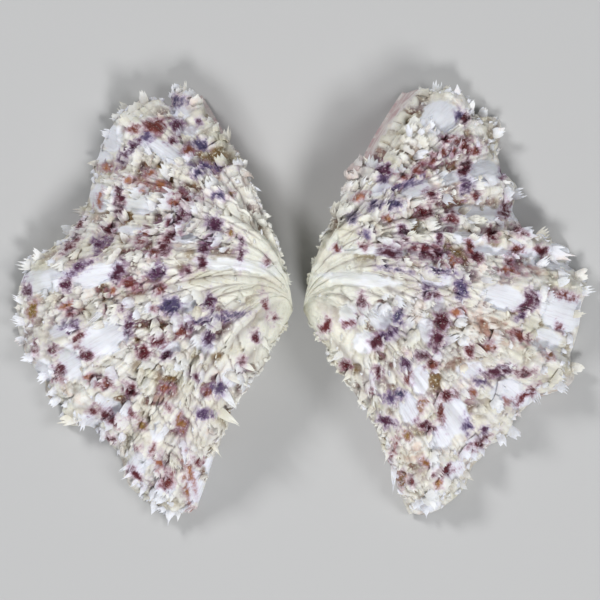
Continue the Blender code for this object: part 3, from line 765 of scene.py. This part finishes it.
def grid_quads(columns, rows, start, closed):
    """Corner indices of the quads of a grid that is stored column by column."""
    index = start + np.arange(columns * rows).reshape(columns, rows)
    after = np.roll(index, -1, 0) if closed else index[1:]
    before = index if closed else index[:-1]
    corners = [before[:, :-1], before[:, 1:], after[:, 1:], after[:, :-1]]
    return np.stack(corners, axis=-1).reshape(-1, 4)


def signed_volume(points, quads):
    a, b, c, d = (points[quads[:, i]] for i in range(4))
    return (np.cross(a, b) * c).sum() + (np.cross(a, c) * d).sum()


def new_mesh(name, points, quads, values):
    """Mesh from whole arrays, in metres, with a float attribute for each entry of values."""
    mesh = bpy.data.meshes.new(name)
    mesh.vertices.add(len(points))
    mesh.vertices.foreach_set("co", (points * MM).astype(np.float32).ravel())
    mesh.loops.add(quads.size)
    mesh.loops.foreach_set("vertex_index", quads.astype(np.int32).ravel())
    mesh.polygons.add(len(quads))
    mesh.polygons.foreach_set("loop_start", np.arange(0, quads.size, 4, dtype=np.int32))
    set_values(mesh, values)
    mesh.update(calc_edges=True)
    mesh.validate()
    return mesh


def weld(mesh, distance):
    """Merges points that lie on each other, such as those at the umbo and along the rim."""
    work = bmesh.new()
    work.from_mesh(mesh)
    bmesh.ops.remove_doubles(work, verts=work.verts, dist=distance)
    work.to_mesh(mesh)
    work.free()


def read_points(mesh):
    points = np.zeros(len(mesh.vertices) * 3, np.float32)
    mesh.vertices.foreach_get("co", points)
    return points.reshape(-1, 3).astype(float) / MM


def read_values(mesh, key):
    values = np.zeros(len(mesh.vertices), np.float32)
    mesh.attributes[key].data.foreach_get("value", values)
    return values.astype(float)


def set_values(mesh, values):
    for key, value in values.items():
        column = mesh.attributes.new(key, "FLOAT", "POINT")
        column.data.foreach_set("value", value.astype(np.float32).ravel())


def valve_plan(side, world):
    """From the row frame, in millimetres, back to a valve's own plan."""
    place = np.array([*UMBO_PLACE[side], 0.0])
    return (world - place) * np.array([VENTRAL_WAY[side], 1.0, 1.0])


def paint(side, mesh, on_scales):
    """Adds the attributes that the skin reads.

    mark, tone: depth inside the nearest blotch, and its colour. stain, stain_tone: the same for
    the faint stains, which are partly painted shade of the fold valleys. bare: smooth fields.
    white: how white the ground is. cavity: hollows where brown staining and painted shade show,
    at the roots of the scales and in the fold valleys. groove: painted shade in the lines between
    cords. lunule: the pinkish band.
    """
    plan = valve_plan(side, read_points(mesh))
    angle, stage = read_values(mesh, "across"), read_values(mesh, "growth")
    x, y = to_pixels(side, plan)
    bare = bareness(side, plan, angle, stage)
    if on_scales:
        height, pale = read_values(mesh, "height"), read_values(mesh, "pale")
        white = ease((pale + 0.4 * ease((stage - 0.8) / 0.12) - 0.45) / 0.5)
        # Brown staining and painted shade at a scale's root, and on the less pale scales
        hollow_brown_and_shade = 0.5 * (1 - ease(height / 0.6)) + 0.25 * (1 - ease(pale / 0.35))
        groove_shade = 0 * bare
    else:
        height, white = 0 * bare, bare
        flat = smooth_form(side, angle, stage)
        # Brown staining and painted shade in the hollows under the growth ledges and between the lumps, less
        # on the side faces
        step = 0.6 * (1 - ease(ledge_share(side, angle, stage, flat) / 0.25))
        hollow = np.maximum(step, 1 - lump_share(flat))
        hollow_brown_and_shade = (1 - bare) * (0.06 + 0.94 * hollow * ease((stage - 0.08) / 0.25))
        beside = (angle > ANTERIOR_ANGLE[side] + 1) | (angle < POSTERIOR_ANGLE[side] - 1)
        hollow_brown_and_shade = np.where(beside, 0.45 * hollow_brown_and_shade, hollow_brown_and_shade)
        # Painted shade in the grooves between the cords, strongest near the umbo and faint on bare fields
        cord = np.clip(riblet_profile(side, angle, stage), 0, 1)
        groove_shade = ease((0.75 - cord) / 0.65) * ease((stage - 0.04) / 0.1) * (1 - 0.8 * bare)
        groove_shade = groove_shade * (1 - 0.65 * ease((stage - 0.4) / 0.3))
    depth, which = inside_ellipses(BLOTCHES[side], x, y, BLOTCH_REACH)
    values = {
        "mark": (depth / BLOTCH_REACH + 1) / 2 - 0.11 * height,
        "tone": np.array(BLOTCHES[side])[which, 5],
    }
    # Broad stains, partly painted shade of the fold valleys, fainter up the scales
    jitter = 2.5 * lattice_noise(np.stack([x, y, 0 * x], axis=-1) / 3.0, 6)
    depth, which = inside_ellipses(STAINS_AND_SHADE[side], x, y, FIELD_REACH)
    stain_and_shade, strength = np.array(STAINS_AND_SHADE[side])[which, 5:].T
    # The hollows' staining and painted shade are stronger in the fold valleys and weaker near the margin
    deep = (0.75 + 0.6 * fold_valley(side, angle, stage)) * (1 - 0.5 * ease((stage - 0.75) / 0.2))
    first, begin = LUNULE_BAND[side]
    values |= {
        "stain_and_shade": strength * ease((depth + jitter + 3.0) / 6.0) * (1 - 0.55 * height),
        "stain_tone": stain_and_shade, "bare": bare, "white": white, "hollow_brown_and_shade": hollow_brown_and_shade * deep, "groove_shade": groove_shade,
        "lunule": ease((angle - first) / 1.2) * ease((stage - begin + 0.1) / 0.2),
    }
    set_values(mesh, values)


def node(tree, kind, **settings):
    made = tree.nodes.new(kind)
    for key, value in settings.items():
        setattr(made, key, value)
    return made


def feed(tree, target, value):
    """Links a socket to an input, or sets the input to a plain value."""
    if isinstance(value, bpy.types.NodeSocket):
        tree.links.new(value, target)
    else:
        target.default_value = value


def maths(tree, operation, first, second):
    made = node(tree, "ShaderNodeMath", operation=operation)
    feed(tree, made.inputs[0], first)
    feed(tree, made.inputs[1], second)
    return made.outputs[0]


def span(tree, value, low, high):
    """Smooth step of a value from 0 at low to 1 at high."""
    made = node(tree, "ShaderNodeMapRange", interpolation_type="SMOOTHSTEP")
    feed(tree, made.inputs["Value"], value)
    made.inputs["From Min"].default_value = low
    made.inputs["From Max"].default_value = high
    return made.outputs["Result"]


def blend(tree, factor, first, second, mode="MIX"):
    """Mixes two colours, each a socket or three numbers."""
    made = node(tree, "ShaderNodeMix", data_type="RGBA", blend_type=mode)
    feed(tree, made.inputs[0], factor)
    for target, colour in zip(made.inputs[6:8], (first, second)):
        feed(tree, target, colour if isinstance(colour, bpy.types.NodeSocket) else rgba(colour))
    return made.outputs[2]


def noise(tree, vector, scale, detail, roughness):
    made = node(tree, "ShaderNodeTexNoise")
    feed(tree, made.inputs["Vector"], vector)
    made.inputs["Scale"].default_value = scale
    made.inputs["Detail"].default_value = detail
    made.inputs["Roughness"].default_value = roughness
    return made.outputs["Fac"]


def rgba(colour):
    return (*colour, 1.0)


def tone_ramp(tree, tone):
    ramp = node(tree, "ShaderNodeValToRGB")
    feed(tree, ramp.inputs[0], tone)
    points = ramp.color_ramp.elements
    while len(points) < len(TONES):
        points.new(0.5)
    for point, (at, *colour) in zip(points, TONES):
        point.position = at
        point.color = rgba(colour)
    return ramp.outputs["Color"]


def attribute(tree, name):
    return node(tree, "ShaderNodeAttribute", attribute_name=name).outputs["Fac"]


def product(tree, first, *others):
    for other in others:
        first = maths(tree, "MULTIPLY", first, other)
    return first


def plus(tree, first, *others):
    for other in others:
        first = maths(tree, "ADD", first, other)
    return first


def less(tree, value, share=1.0):
    """1 less a share of the value."""
    return maths(tree, "SUBTRACT", 1.0, product(tree, value, share))


def swing(tree, value, share):
    """A noise centred on 0 in place of a half, and scaled."""
    return product(tree, maths(tree, "SUBTRACT", value, 0.5), share)


def new_material(name):
    material = bpy.data.materials.new(name)
    material.use_nodes = True
    return material, material.node_tree, material.node_tree.nodes["Principled BSDF"]


def add_relief(tree, shader, strength, distance, height):
    relief = node(tree, "ShaderNodeBump")
    relief.inputs["Strength"].default_value = strength
    relief.inputs["Distance"].default_value = distance
    feed(tree, relief.inputs["Height"], height)
    feed(tree, shader.inputs["Normal"], relief.outputs["Normal"])


def skin_material(colours):
    """Shell skin: attributes say where each colour lies, and noise breaks up its edge and grain."""
    _, tree, shader = new_material("shell_skin")
    place = node(tree, "ShaderNodeTexCoord").outputs["Object"]
    tint, broad, torn, fine, grain = (noise(tree, place, *row) for row in NOISES.values())
    growth, bare = attribute(tree, "growth"), attribute(tree, "bare")
    streak_at = node(tree, "ShaderNodeCombineXYZ")
    feed(tree, streak_at.inputs[0], product(tree, attribute(tree, "across"), 2.2))
    feed(tree, streak_at.inputs[1], product(tree, growth, 14.0))
    streak = noise(tree, streak_at.outputs[0], 1.0, 4.0, 0.6)
    coarse = less(tree, bare, 0.9)
    lunule, tone = attribute(tree, "lunule"), attribute(tree, "tone")
    # Tan to mauve brown of the hollows: staining mixed with painted shade
    dirt_and_shade = blend(tree, span(tree, tint, 0.42, 0.6), colours.valley, colours.mauve)
    # Colour of the broad stains, which partly paint shade into the fold valleys
    stain_and_shade = tone_ramp(tree, attribute(tree, "stain_tone"))
    ragged = plus(tree, swing(tree, torn, 0.62), swing(tree, grain, 0.22), swing(tree, streak, 0.25))
    edge = plus(tree, attribute(tree, "mark"), ragged)
    around = blend(tree, product(tree, span(tree, tone, 0.24, 0.5), 0.8), colours.halo, colours.rose)

    warm = product(tree, span(tree, broad, 0.58, 0.72), coarse, span(tree, growth, 0.25, 0.55), 0.4)
    old = product(tree, less(tree, span(tree, growth, 0.08, 0.5)), 0.55, span(tree, broad, 0.3, 0.6))
    band = product(tree, lunule, span(tree, streak, 0.38, 0.6), span(tree, tint, 0.36, 0.54), 0.8)

    # Each layer: its share and its colour, from the lowest up
    layers = (
        (attribute(tree, "white"), colours.bare),
        (product(tree, bare, span(tree, streak, 0.48, 0.7), 0.35), colours.shade),
        # Painted shade in the grooves between the cords
        (product(tree, attribute(tree, "groove_shade"), 0.75), colours.groove_shade),
        # Brown staining and painted shade in the hollows and at the roots of the scales
        (product(tree, attribute(tree, "hollow_brown_and_shade"), span(tree, fine, 0.3, 0.52)), dirt_and_shade),
        (product(tree, span(tree, tint, 0.54, 0.74), 0.22), colours.shade),
        (product(tree, span(tree, tint, 0.46, 0.3), 0.35), colours.umbo, "MULTIPLY"),
        (warm, colours.peach),
        (old, colours.umbo),
        (product(tree, span(tree, grain, 0.5, 0.64), coarse, 0.16), colours.shade),
        (product(tree, span(tree, fine, 0.46, 0.34), coarse, 0.28), colours.straw),
        (product(tree, lunule, 0.7), colours.keel),
        (band, colours.lunule),
        # Broad stains, partly painted shade of the fold valleys
        (product(tree, attribute(tree, "stain_and_shade"), span(tree, torn, 0.32, 0.6)), stain_and_shade),
        (product(tree, span(tree, edge, 0.2, 0.46), 0.3), colours.haze),
        (product(tree, span(tree, edge, 0.33, 0.52), 0.5), around),
        (product(tree, span(tree, edge, 0.4, 0.61), 0.98), tone_ramp(tree, tone)),
        (product(tree, span(tree, edge, 0.3, 0.5), span(tree, grain, 0.58, 0.68), coarse, 0.4), colours.pale),
    )
    ground = blend(tree, span(tree, broad, 0.35, 0.65), colours.cream, colours.pale)
    for share, colour, *mode in layers:
        ground = blend(tree, share, ground, colour, *mode)
    feed(tree, shader.inputs["Base Color"], ground)
    feed(tree, shader.inputs["Roughness"], plus(tree, product(tree, fine, 0.3), 0.42))
    rough = product(tree, plus(tree, fine, product(tree, grain, 0.6)), coarse)
    add_relief(tree, shader, 0.5, 0.0003, plus(tree, rough, product(tree, streak, 0.35)))
    shader.inputs["Specular IOR Level"].default_value = SKIN_SPECULAR
    shader.inputs["Subsurface Weight"].default_value = SCATTER_SHARE
    shader.inputs["Subsurface Radius"].default_value = SCATTER_COLOUR
    shader.inputs["Subsurface Scale"].default_value = SCATTER_REACH


def porcelain_material(colours):
    """Inside of the valves: glossy porcelain with faint clouds."""
    _, tree, shader = new_material("porcelain_inside")
    place = node(tree, "ShaderNodeTexCoord").outputs["Object"]
    cloud = noise(tree, place, 90.0, 3.0, 0.5)
    colour = blend(tree, span(tree, cloud, 0.35, 0.7), colours.inside, colours.cream)
    feed(tree, shader.inputs["Base Color"], colour)
    feed(tree, shader.inputs["Roughness"], plus(tree, product(tree, cloud, 0.2), 0.22))
    add_relief(tree, shader, 0.2, 0.0004, noise(tree, place, 400.0, 3.0, 0.5))


def materials():
    """The materials, made once."""
    if "shell_skin" not in bpy.data.materials:
        skin_material(bpy.context.scene.shell_colours)
        porcelain_material(bpy.context.scene.shell_colours)
    return bpy.data.materials


def add_piece(name, mesh):
    piece = bpy.data.objects.new(name, mesh)
    bpy.context.scene.collection.objects.link(piece)
    return piece


def make_wall(side):
    """One valve's wall: the outside grid and the underside rings, welded into a closed skin."""
    grid, angles, stages = outer_grid(side)
    columns, rows = grid.shape[:2]
    loop = rim_loop(grid)
    numbers = np.arange(columns)[:, None] * np.ones(rows)
    first, last = SIDE_COLUMNS, columns - 1 - SIDE_COLUMNS
    on_margin = (rim_loop(numbers) > first) & (rim_loop(numbers) < last)
    rings = underside(side, loop, on_margin, rim_loop(stages)).swapaxes(0, 1)
    points = np.concatenate([grid.reshape(-1, 3), rings.reshape(-1, 3)])
    outer = grid_quads(columns, rows, 0, False)
    inner = grid_quads(len(loop), rings.shape[1], columns * rows, True)[:, ::-1]
    ring_angle = rim_loop(angles)[:, None] * np.ones(rings.shape[1])
    ring_stage = rim_loop(stages)[:, None] * np.ones(rings.shape[1])
    values = {
        "across": np.concatenate([angles.ravel(), ring_angle.ravel()]),
        "growth": np.concatenate([stages.ravel(), ring_stage.ravel()]),
    }
    world = to_world(side, points)
    quads = np.concatenate([outer, inner])
    if signed_volume(world, quads) < 0:
        quads = quads[:, ::-1]
    mesh = new_mesh(f"{side}_wall", world, quads, values)
    slots = np.repeat([0, 1], [len(outer), len(inner)]).astype(np.int32)
    mesh.polygons.foreach_set("material_index", slots)
    weld(mesh, WELD_DISTANCE)
    paint(side, mesh, False)
    mesh.materials.append(materials()["shell_skin"])
    mesh.materials.append(materials()["porcelain_inside"])
    mesh.shade_smooth()
    return add_piece(f"{side}_wall", mesh)


def joined(sets):
    """One array for each property from several sets of seats."""
    return {key: np.concatenate([part[key] for part in sets]) for key in sets[0]}


def drawn(rng, count, ranges, bell=BELL):
    """One array of draws for each property, in the order of ranges."""
    return {
        key: rng.normal(*limits, count) if key in bell else rng.uniform(*limits, count)
        for key, limits in ranges.items()
    }


def blade_seats(side, rng):
    """Where blades grow and how big each is, as one array for each property.

    One seat for each riblet and growth row, apart from those on bare fields, before the riblet
    starts or broken off; then a frill along the margin, broad plates on the folds, and teeth
    along the ridges at both ends.
    """
    scales = bpy.context.scene.shell_scales
    last, first, pitch = POSTERIOR_ANGLE[side], ANTERIOR_ANGLE[side], riblet_pitch(side)

    riblet, row = np.meshgrid(np.arange(RIBLETS), np.arange(GROWTH_ROWS), indexing="ij")
    riblet, row = riblet.ravel(), row.ravel()
    count = row.size
    stage = 0.05 + 0.93 * ((row + rng.uniform(0.1, 0.9, count)) / GROWTH_ROWS) ** 0.92
    _, step = cord_number(side, last + (riblet + 0.5) * pitch, stage)
    angle = last + (riblet // step + 0.5 + rng.uniform(-0.16, 0.16, count)) * step * pitch
    points = smooth_form(side, angle, stage)
    clump = lattice_noise(points / 3.2, 9)
    edge = 0.12 + 0.88 * ease((ledge_share(side, angle, stage, points) - 0.5) / 0.25)
    dense = np.clip(scales.kept + 0.75 * clump, 0, 1) * (0.4 + 0.6 * ease((stage - 0.1) / 0.3)) * edge
    dense = dense * (1 - 0.45 * fold_valley(side, angle, stage))
    shorter = 1 - 0.5 * ease((stage - 0.82) / 0.12)
    size = (0.35 + 0.65 * stage) * rng.lognormal(-0.1, 0.46, count) * shorter
    rib = {
        "angle": angle, "stage": stage, "step": step.astype(float),
        "length": scales.length * size, **drawn(rng, count, RIB_DRAW, ("lean", *BELL)),
        "width": np.zeros(count),
        "kept": (riblet % step == 0) & (rng.random(count) < dense),
    }
    rib["lean"] += scales.lean

    count = RIBLETS * FRILL_PER_RIBLET
    along_margin = (np.arange(count) + 0.5 + rng.uniform(-0.4, 0.4, count)) * pitch / FRILL_PER_RIBLET
    frill = {
        "angle": last + along_margin,
        "stage": rng.uniform(0.93, 0.99, count), "step": np.ones(count), **drawn(rng, count, FRILL_DRAW),
        "kept": rng.random(count) < 0.7,
    }

    count = PLATE_COUNT
    folds = np.array(FOLDS[side])
    chosen = folds[rng.integers(0, len(folds), count)]
    plates = {
        "angle": np.clip(chosen[:, 0] + chosen[:, 1] * rng.uniform(-0.7, 0.7, count), last + 1, first - 1),
        "stage": rng.uniform(0.28, 0.95, count), "step": np.ones(count), **drawn(rng, count, PLATE_DRAW),
        "kept": np.ones(count, bool),
    }

    count = RIDGE_COUNT
    end = rng.integers(0, 2, count)
    ridge = {
        "angle": np.where(end, first, last) + (1 - 2 * end) * rng.uniform(0.0, 2.5, count),
        "stage": rng.uniform(0.06, 0.97, count), "step": np.ones(count),
        **drawn(rng, count, RIDGE_DRAW, ("curl",)), "kept": np.ones(count, bool),
    }
    ridge["turn"] *= 1 - 2 * end
    seats = joined((rib, frill, plates, ridge))
    points = smooth_form(side, seats["angle"], seats["stage"])
    bare = bareness(side, points, seats["angle"], seats["stage"])
    middle, half, begin = LEFT_NOTCH
    notch = (side == "left") & (np.abs(seats["angle"] - middle) < half) & (seats["stage"] > begin)
    seats["kept"] &= (rng.random(bare.size) > bare * 1.1) & ~notch
    return {key: value[seats["kept"]] for key, value in seats.items()}


def chip_seats(side, rng):
    """Small chips and grains strewn over the rough parts, turned every way."""
    count = CHIP_COUNT
    last, first = POSTERIOR_ANGLE[side], ANTERIOR_ANGLE[side]
    angle = rng.uniform(last + 0.5, first - 0.5, count)
    stage = rng.uniform(0.0, 1.0, count) ** 0.6 * 0.98
    points = smooth_form(side, angle, stage)
    bare = bareness(side, points, angle, stage)
    clump = lattice_noise(points / 1.9, 19)
    share = ledge_share(side, angle, stage, points)
    edge = 0.2 + 0.8 * ease((np.abs(share - 0.5) - 0.15) / 0.2)
    dense = np.clip(0.3 + 0.9 * clump, 0, 1) * (0.75 + 0.25 * ease((stage - 0.15) / 0.3)) * edge
    dense = dense * (1 - 0.45 * fold_valley(side, angle, stage))
    chips = {"angle": angle, "stage": stage, "step": np.ones(count), **drawn(rng, count, CHIP_DRAW)}
    for key in ("length", "width"):
        chips[key] *= 0.5 + 0.5 * ease(stage / 0.4)
    kept = (rng.random(count) < dense) & (rng.random(count) > bare * 1.04)
    return {key: value[kept] for key, value in chips.items()}


def scale_points(seats, root, along, across, out, rng, grid):
    """Points of many scales at once: upper and lower skins of an arched, ragged blade.

    A blade leaves the wall at its lean, turns by its curl on the way, arches across by a parabola
    and ends in a ragged tip. It is thinner at the tip than at the root. Gives the points and, for
    each, its share of the way from root to tip.
    """
    count = len(root)
    u = np.linspace(-1, 1, grid[0])[None, None, None, :]
    v = np.linspace(0, 1, grid[1])[None, None, :, None]
    names = ("length", "width", "lean", "curl", "arch", "taper")
    length, width, lean, curl, arch, taper = (seats[name][:, None, None, None] for name in names)
    teeth = rng.uniform(0.0, 0.5, (count, 1, 1, 1)) * (np.arange(grid[0]) % 2)
    ragged = rng.uniform(-0.3, 0.1, (count, 1, 1, grid[0])) - 0.2 * u**2 - teeth
    travel = length * (v * (1 + ragged * v) - 0.12)
    tilt, bend = lean + curl * v, lean + curl * v / 2
    half = width / 2 * (1 - taper * v**1.3) * (0.82 + 0.18 * np.sin(math.pi * v))
    skew = rng.normal(0, 0.2, (count, 1, 1, 1)) * travel
    thick = ROOT_THICKNESS + (TIP_THICKNESS - ROOT_THICKNESS) * v
    lift = arch * half * 1.4 * (1 - u**2) + np.array([0.5, -0.5])[None, :, None, None] * thick
    t, b, n = (axis[:, None, None, None, :] for axis in (along, across, out))
    direction = np.cos(bend)[..., None] * t + np.sin(bend)[..., None] * n
    back = -np.sin(tilt)[..., None] * t + np.cos(tilt)[..., None] * n
    points = root[:, None, None, None, :] + travel[..., None] * direction
    points = points + (half * u + skew)[..., None] * b + lift[..., None] * back
    return points, np.broadcast_to(v, points.shape[:-1])


def scale_quads(count, grid):
    """Quads of every scale: two skins and the border between them."""
    columns, rows = grid
    size = columns * rows
    index = np.arange(size).reshape(rows, columns)
    top = np.stack([index[:-1, :-1], index[:-1, 1:], index[1:, 1:], index[1:, :-1]], axis=-1).reshape(-1, 4)
    border = np.concatenate([index[0, :-1], index[:-1, -1], index[-1, :0:-1], index[:0:-1, 0]])
    after = np.roll(border, -1)
    rim = np.stack([border, border + size, after + size, after], axis=-1)
    one = np.concatenate([top, (top + size)[:, ::-1], rim])
    return (one[None] + (np.arange(count) * 2 * size)[:, None, None]).reshape(-1, 4)


def turned(along, across, turn):
    """The two directions along the wall, turned about the third."""
    c, s = np.cos(turn)[:, None], np.sin(turn)[:, None]
    return c * along + s * across, c * across - s * along


def chosen_seats(side, rng):
    """The blades that stand out, with their own directions, found from their pixels."""
    rows = np.array(CHOSEN_BLADES[side], float)
    angle = np.linspace(POSTERIOR_ANGLE[side] + 0.3, ANTERIOR_ANGLE[side] - 0.3, 400)
    angle, stage = (part.ravel() for part in np.meshgrid(angle, np.linspace(0.02, 0.99, 300)))
    x, y = to_pixels(side, smooth_form(side, angle, stage))
    nearest = np.argmin((x[None] - rows[:, 2:3]) ** 2 + (y[None] - rows[:, 3:4]) ** 2, axis=1)
    count = len(rows)
    pointed = (rows[:, 4] < 8.5) | (angle[nearest] < -45)
    seats = {
        "angle": angle[nearest], "stage": stage[nearest], "step": np.ones(count),
        "length": np.hypot(rows[:, 0] - rows[:, 2], rows[:, 1] - rows[:, 3]) * PIXEL * 1.25,
        "lean": rng.uniform(0.2, 0.35, count),
        "curl": rng.normal(-0.1, 0.1, count),
        "arch": rng.uniform(0.1, 0.3, count),
        "taper": np.where(pointed, rng.uniform(0.7, 0.95, count), rng.uniform(-0.3, 0.3, count)),
        "turn": np.zeros(count),
        "width": rows[:, 4] * PIXEL,
    }
    way = VENTRAL_WAY[side]
    level = np.stack([(rows[:, 0] - rows[:, 2]) * way, rows[:, 3] - rows[:, 1], 0 * rows[:, 0]], axis=1)
    along = unit(level)
    out = np.tile([0.0, 0.0, 1.0], (count, 1))
    return seats, along, np.cross(out, along), out


def make_scales(side, name, seats, frames, grid, rng):
    """One piece from all the scales with these seats and frames."""
    along, across, out = frames
    root = outside(side, seats["angle"], seats["stage"])
    points, height = scale_points(seats, root, along, across, out, rng, grid)
    shape = points.shape[:-1]
    values = {
        "across": np.broadcast_to(seats["angle"][:, None, None, None], shape),
        "growth": np.broadcast_to(seats["stage"][:, None, None, None], shape),
        "height": height,
        "pale": np.broadcast_to(rng.random((len(root), 1, 1, 1)), shape),
    }
    world = to_world(side, points.reshape(-1, 3))
    world[:, 2] = np.maximum(world[:, 2], 0.02)
    quads = scale_quads(len(root), grid)
    if signed_volume(world, quads) < 0:
        quads = quads[:, ::-1]
    mesh = new_mesh(name, world, quads, values)
    paint(side, mesh, True)
    mesh.materials.append(materials()["shell_skin"])
    mesh.shade_smooth()
    mesh.set_sharp_from_angle(angle=math.radians(SHARP_ANGLE))
    return add_piece(name, mesh)


def make_blades(side):
    """The blades of one valve: riblet scales, frill, plates, ridge teeth and the chosen ones."""
    rng = np.random.default_rng(bpy.context.scene.shell_form.seed + SIDES.index(side))
    seats = blade_seats(side, rng)
    seats.pop("kept")
    across, along, out, degree = local_frame(side, seats["angle"], seats["stage"])
    along, across = turned(along, across, seats["turn"])
    wide = degree * riblet_pitch(side) * seats["step"] * bpy.context.scene.shell_scales.width
    wide = np.maximum(wide * rng.uniform(0.75, 1.3, len(degree)), 0.5)
    wide = np.minimum(wide, 1.3 * seats["length"])
    seats["width"] = np.where(seats["width"] > 0, seats["width"], wide)
    chosen, *frames = chosen_seats(side, rng)
    frames = [np.concatenate(pair) for pair in zip((along, across, out), frames)]
    return make_scales(side, f"{side}_blades", joined((seats, chosen)), frames, BLADE_GRID, rng)


def make_chips(side):
    """The chips and grains of one valve."""
    rng = np.random.default_rng(bpy.context.scene.shell_form.seed + 10 + SIDES.index(side))
    seats = chip_seats(side, rng)
    across, along, out, _ = local_frame(side, seats["angle"], seats["stage"])
    along, across = turned(along, across, seats["turn"])
    return make_scales(side, f"{side}_chips", seats, (along, across, out), CHIP_GRID, rng)


class SHELL_OT_walls(bpy.types.Operator):
    """Makes the walls of both valves"""

    bl_idname = "shell.walls"
    bl_label = "Valve walls"

    def execute(self, context):
        for side in SIDES:
            wall = make_wall(side)
            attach(wall, "root")
            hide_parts(f"{side}_valve")
        return {"FINISHED"}


class SHELL_OT_scales(bpy.types.Operator):
    """Makes the blades and chips of both valves"""

    bl_idname = "shell.scales"
    bl_label = "Scales"

    def execute(self, context):
        for side in SIDES:
            for scales in (make_blades(side), make_chips(side)):
                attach(scales, "root")
        return {"FINISHED"}


def add_light(name, place, size, power):
    """Soft square light that faces the shell."""
    lamp = bpy.data.lights.new(name, "AREA")
    lamp.size = size
    lamp.energy = power
    thing = bpy.data.objects.new(name, lamp)
    thing.location = place
    aim = -np.array(place) / np.linalg.norm(place)
    thing.rotation_euler = (math.acos(-aim[2]), 0.0, math.atan2(aim[0], -aim[1]) + math.pi)
    bpy.context.scene.collection.objects.link(thing)


class SHELL_OT_stage(bpy.types.Operator):
    """Lays the floor and sets the lights and the camera"""

    bl_idname = "shell.stage"
    bl_label = "Stage"

    def execute(self, context):
        scene = context.scene
        half = FLOOR_SIZE / 2
        mesh = bpy.data.meshes.new("floor")
        corners = [(x * half, y * half, FLOOR_LEVEL) for x, y in ((-1, -1), (1, -1), (1, 1), (-1, 1))]
        mesh.from_pydata(corners, [], [(0, 1, 2, 3)])
        material, _, shader = new_material("floor_paper")
        shader.inputs["Base Color"].default_value = rgba(scene.stage_settings.floor)
        shader.inputs["Roughness"].default_value = 0.9
        mesh.materials.append(material)
        add_piece("floor", mesh)

        for name, (place, size, share) in LIGHTS.items():
            add_light(name, place, size, scene.stage_settings.light * share)
        world = bpy.data.worlds.new("surroundings")
        world.use_nodes = True
        sky = world.node_tree.nodes["Background"]
        sky.inputs["Color"].default_value = rgba(SKY_COLOUR)
        sky.inputs["Strength"].default_value = scene.stage_settings.world
        scene.world = world
        scene.view_settings.view_transform = "Standard"

        camera = bpy.data.cameras.new("camera")
        camera.sensor_width = SENSOR_WIDTH
        camera.lens = SENSOR_WIDTH * (CAMERA_HEIGHT - FRAMED_LEVEL) / (PHOTO_SIZE * PIXEL)
        camera.clip_end = CLIP_END
        viewer = bpy.data.objects.new("camera", camera)
        middle = PHOTO_SIZE / 2
        viewer.location = (
            (middle - ORIGIN_PIXEL[0]) * PIXEL * MM,
            (ORIGIN_PIXEL[1] - middle) * PIXEL * MM,
            CAMERA_HEIGHT * MM,
        )
        scene.collection.objects.link(viewer)
        scene.camera = viewer
        return {"FINISHED"}


class SHELL_PT_panel(bpy.types.Panel):
    """Panel that lists what can be made"""

    bl_label = "Bear Paw Clam Shell"
    bl_idname = "SHELL_PT_panel"
    bl_space_type = "VIEW_3D"
    bl_region_type = "UI"
    bl_category = "Shell"

    def draw(self, context):
        for operator in OPERATORS:
            self.layout.operator(operator.bl_idname)
        for key in GROUPS:
            settings = getattr(context.scene, key)
            box = self.layout.box()
            for name in settings.bl_rna.properties.keys():
                if name not in ("rna_type", "name"):
                    box.prop(settings, name)


GROUPS = {
    "shell_form": ShellForm,
    "shell_scales": ShellScales,
    "shell_colours": ShellColours,
    "stage_settings": StageSettings,
}
OPERATORS = (SHELL_OT_stage, SHELL_OT_walls, SHELL_OT_scales)


def register():
    for key, group in GROUPS.items():
        bpy.utils.register_class(group)
        setattr(bpy.types.Scene, key, bpy.props.PointerProperty(type=group))
    for thing in (*OPERATORS, SHELL_PT_panel):
        bpy.utils.register_class(thing)


def unregister():
    for thing in (SHELL_PT_panel, *reversed(OPERATORS)):
        bpy.utils.unregister_class(thing)
    for key, group in GROUPS.items():
        delattr(bpy.types.Scene, key)
        bpy.utils.unregister_class(group)


def main():
    """Registers the add-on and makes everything."""
    register()
    bpy.ops.shell.stage()
    bpy.ops.shell.walls()
    bpy.ops.shell.scales()


if __name__ == "__main__":
    main()
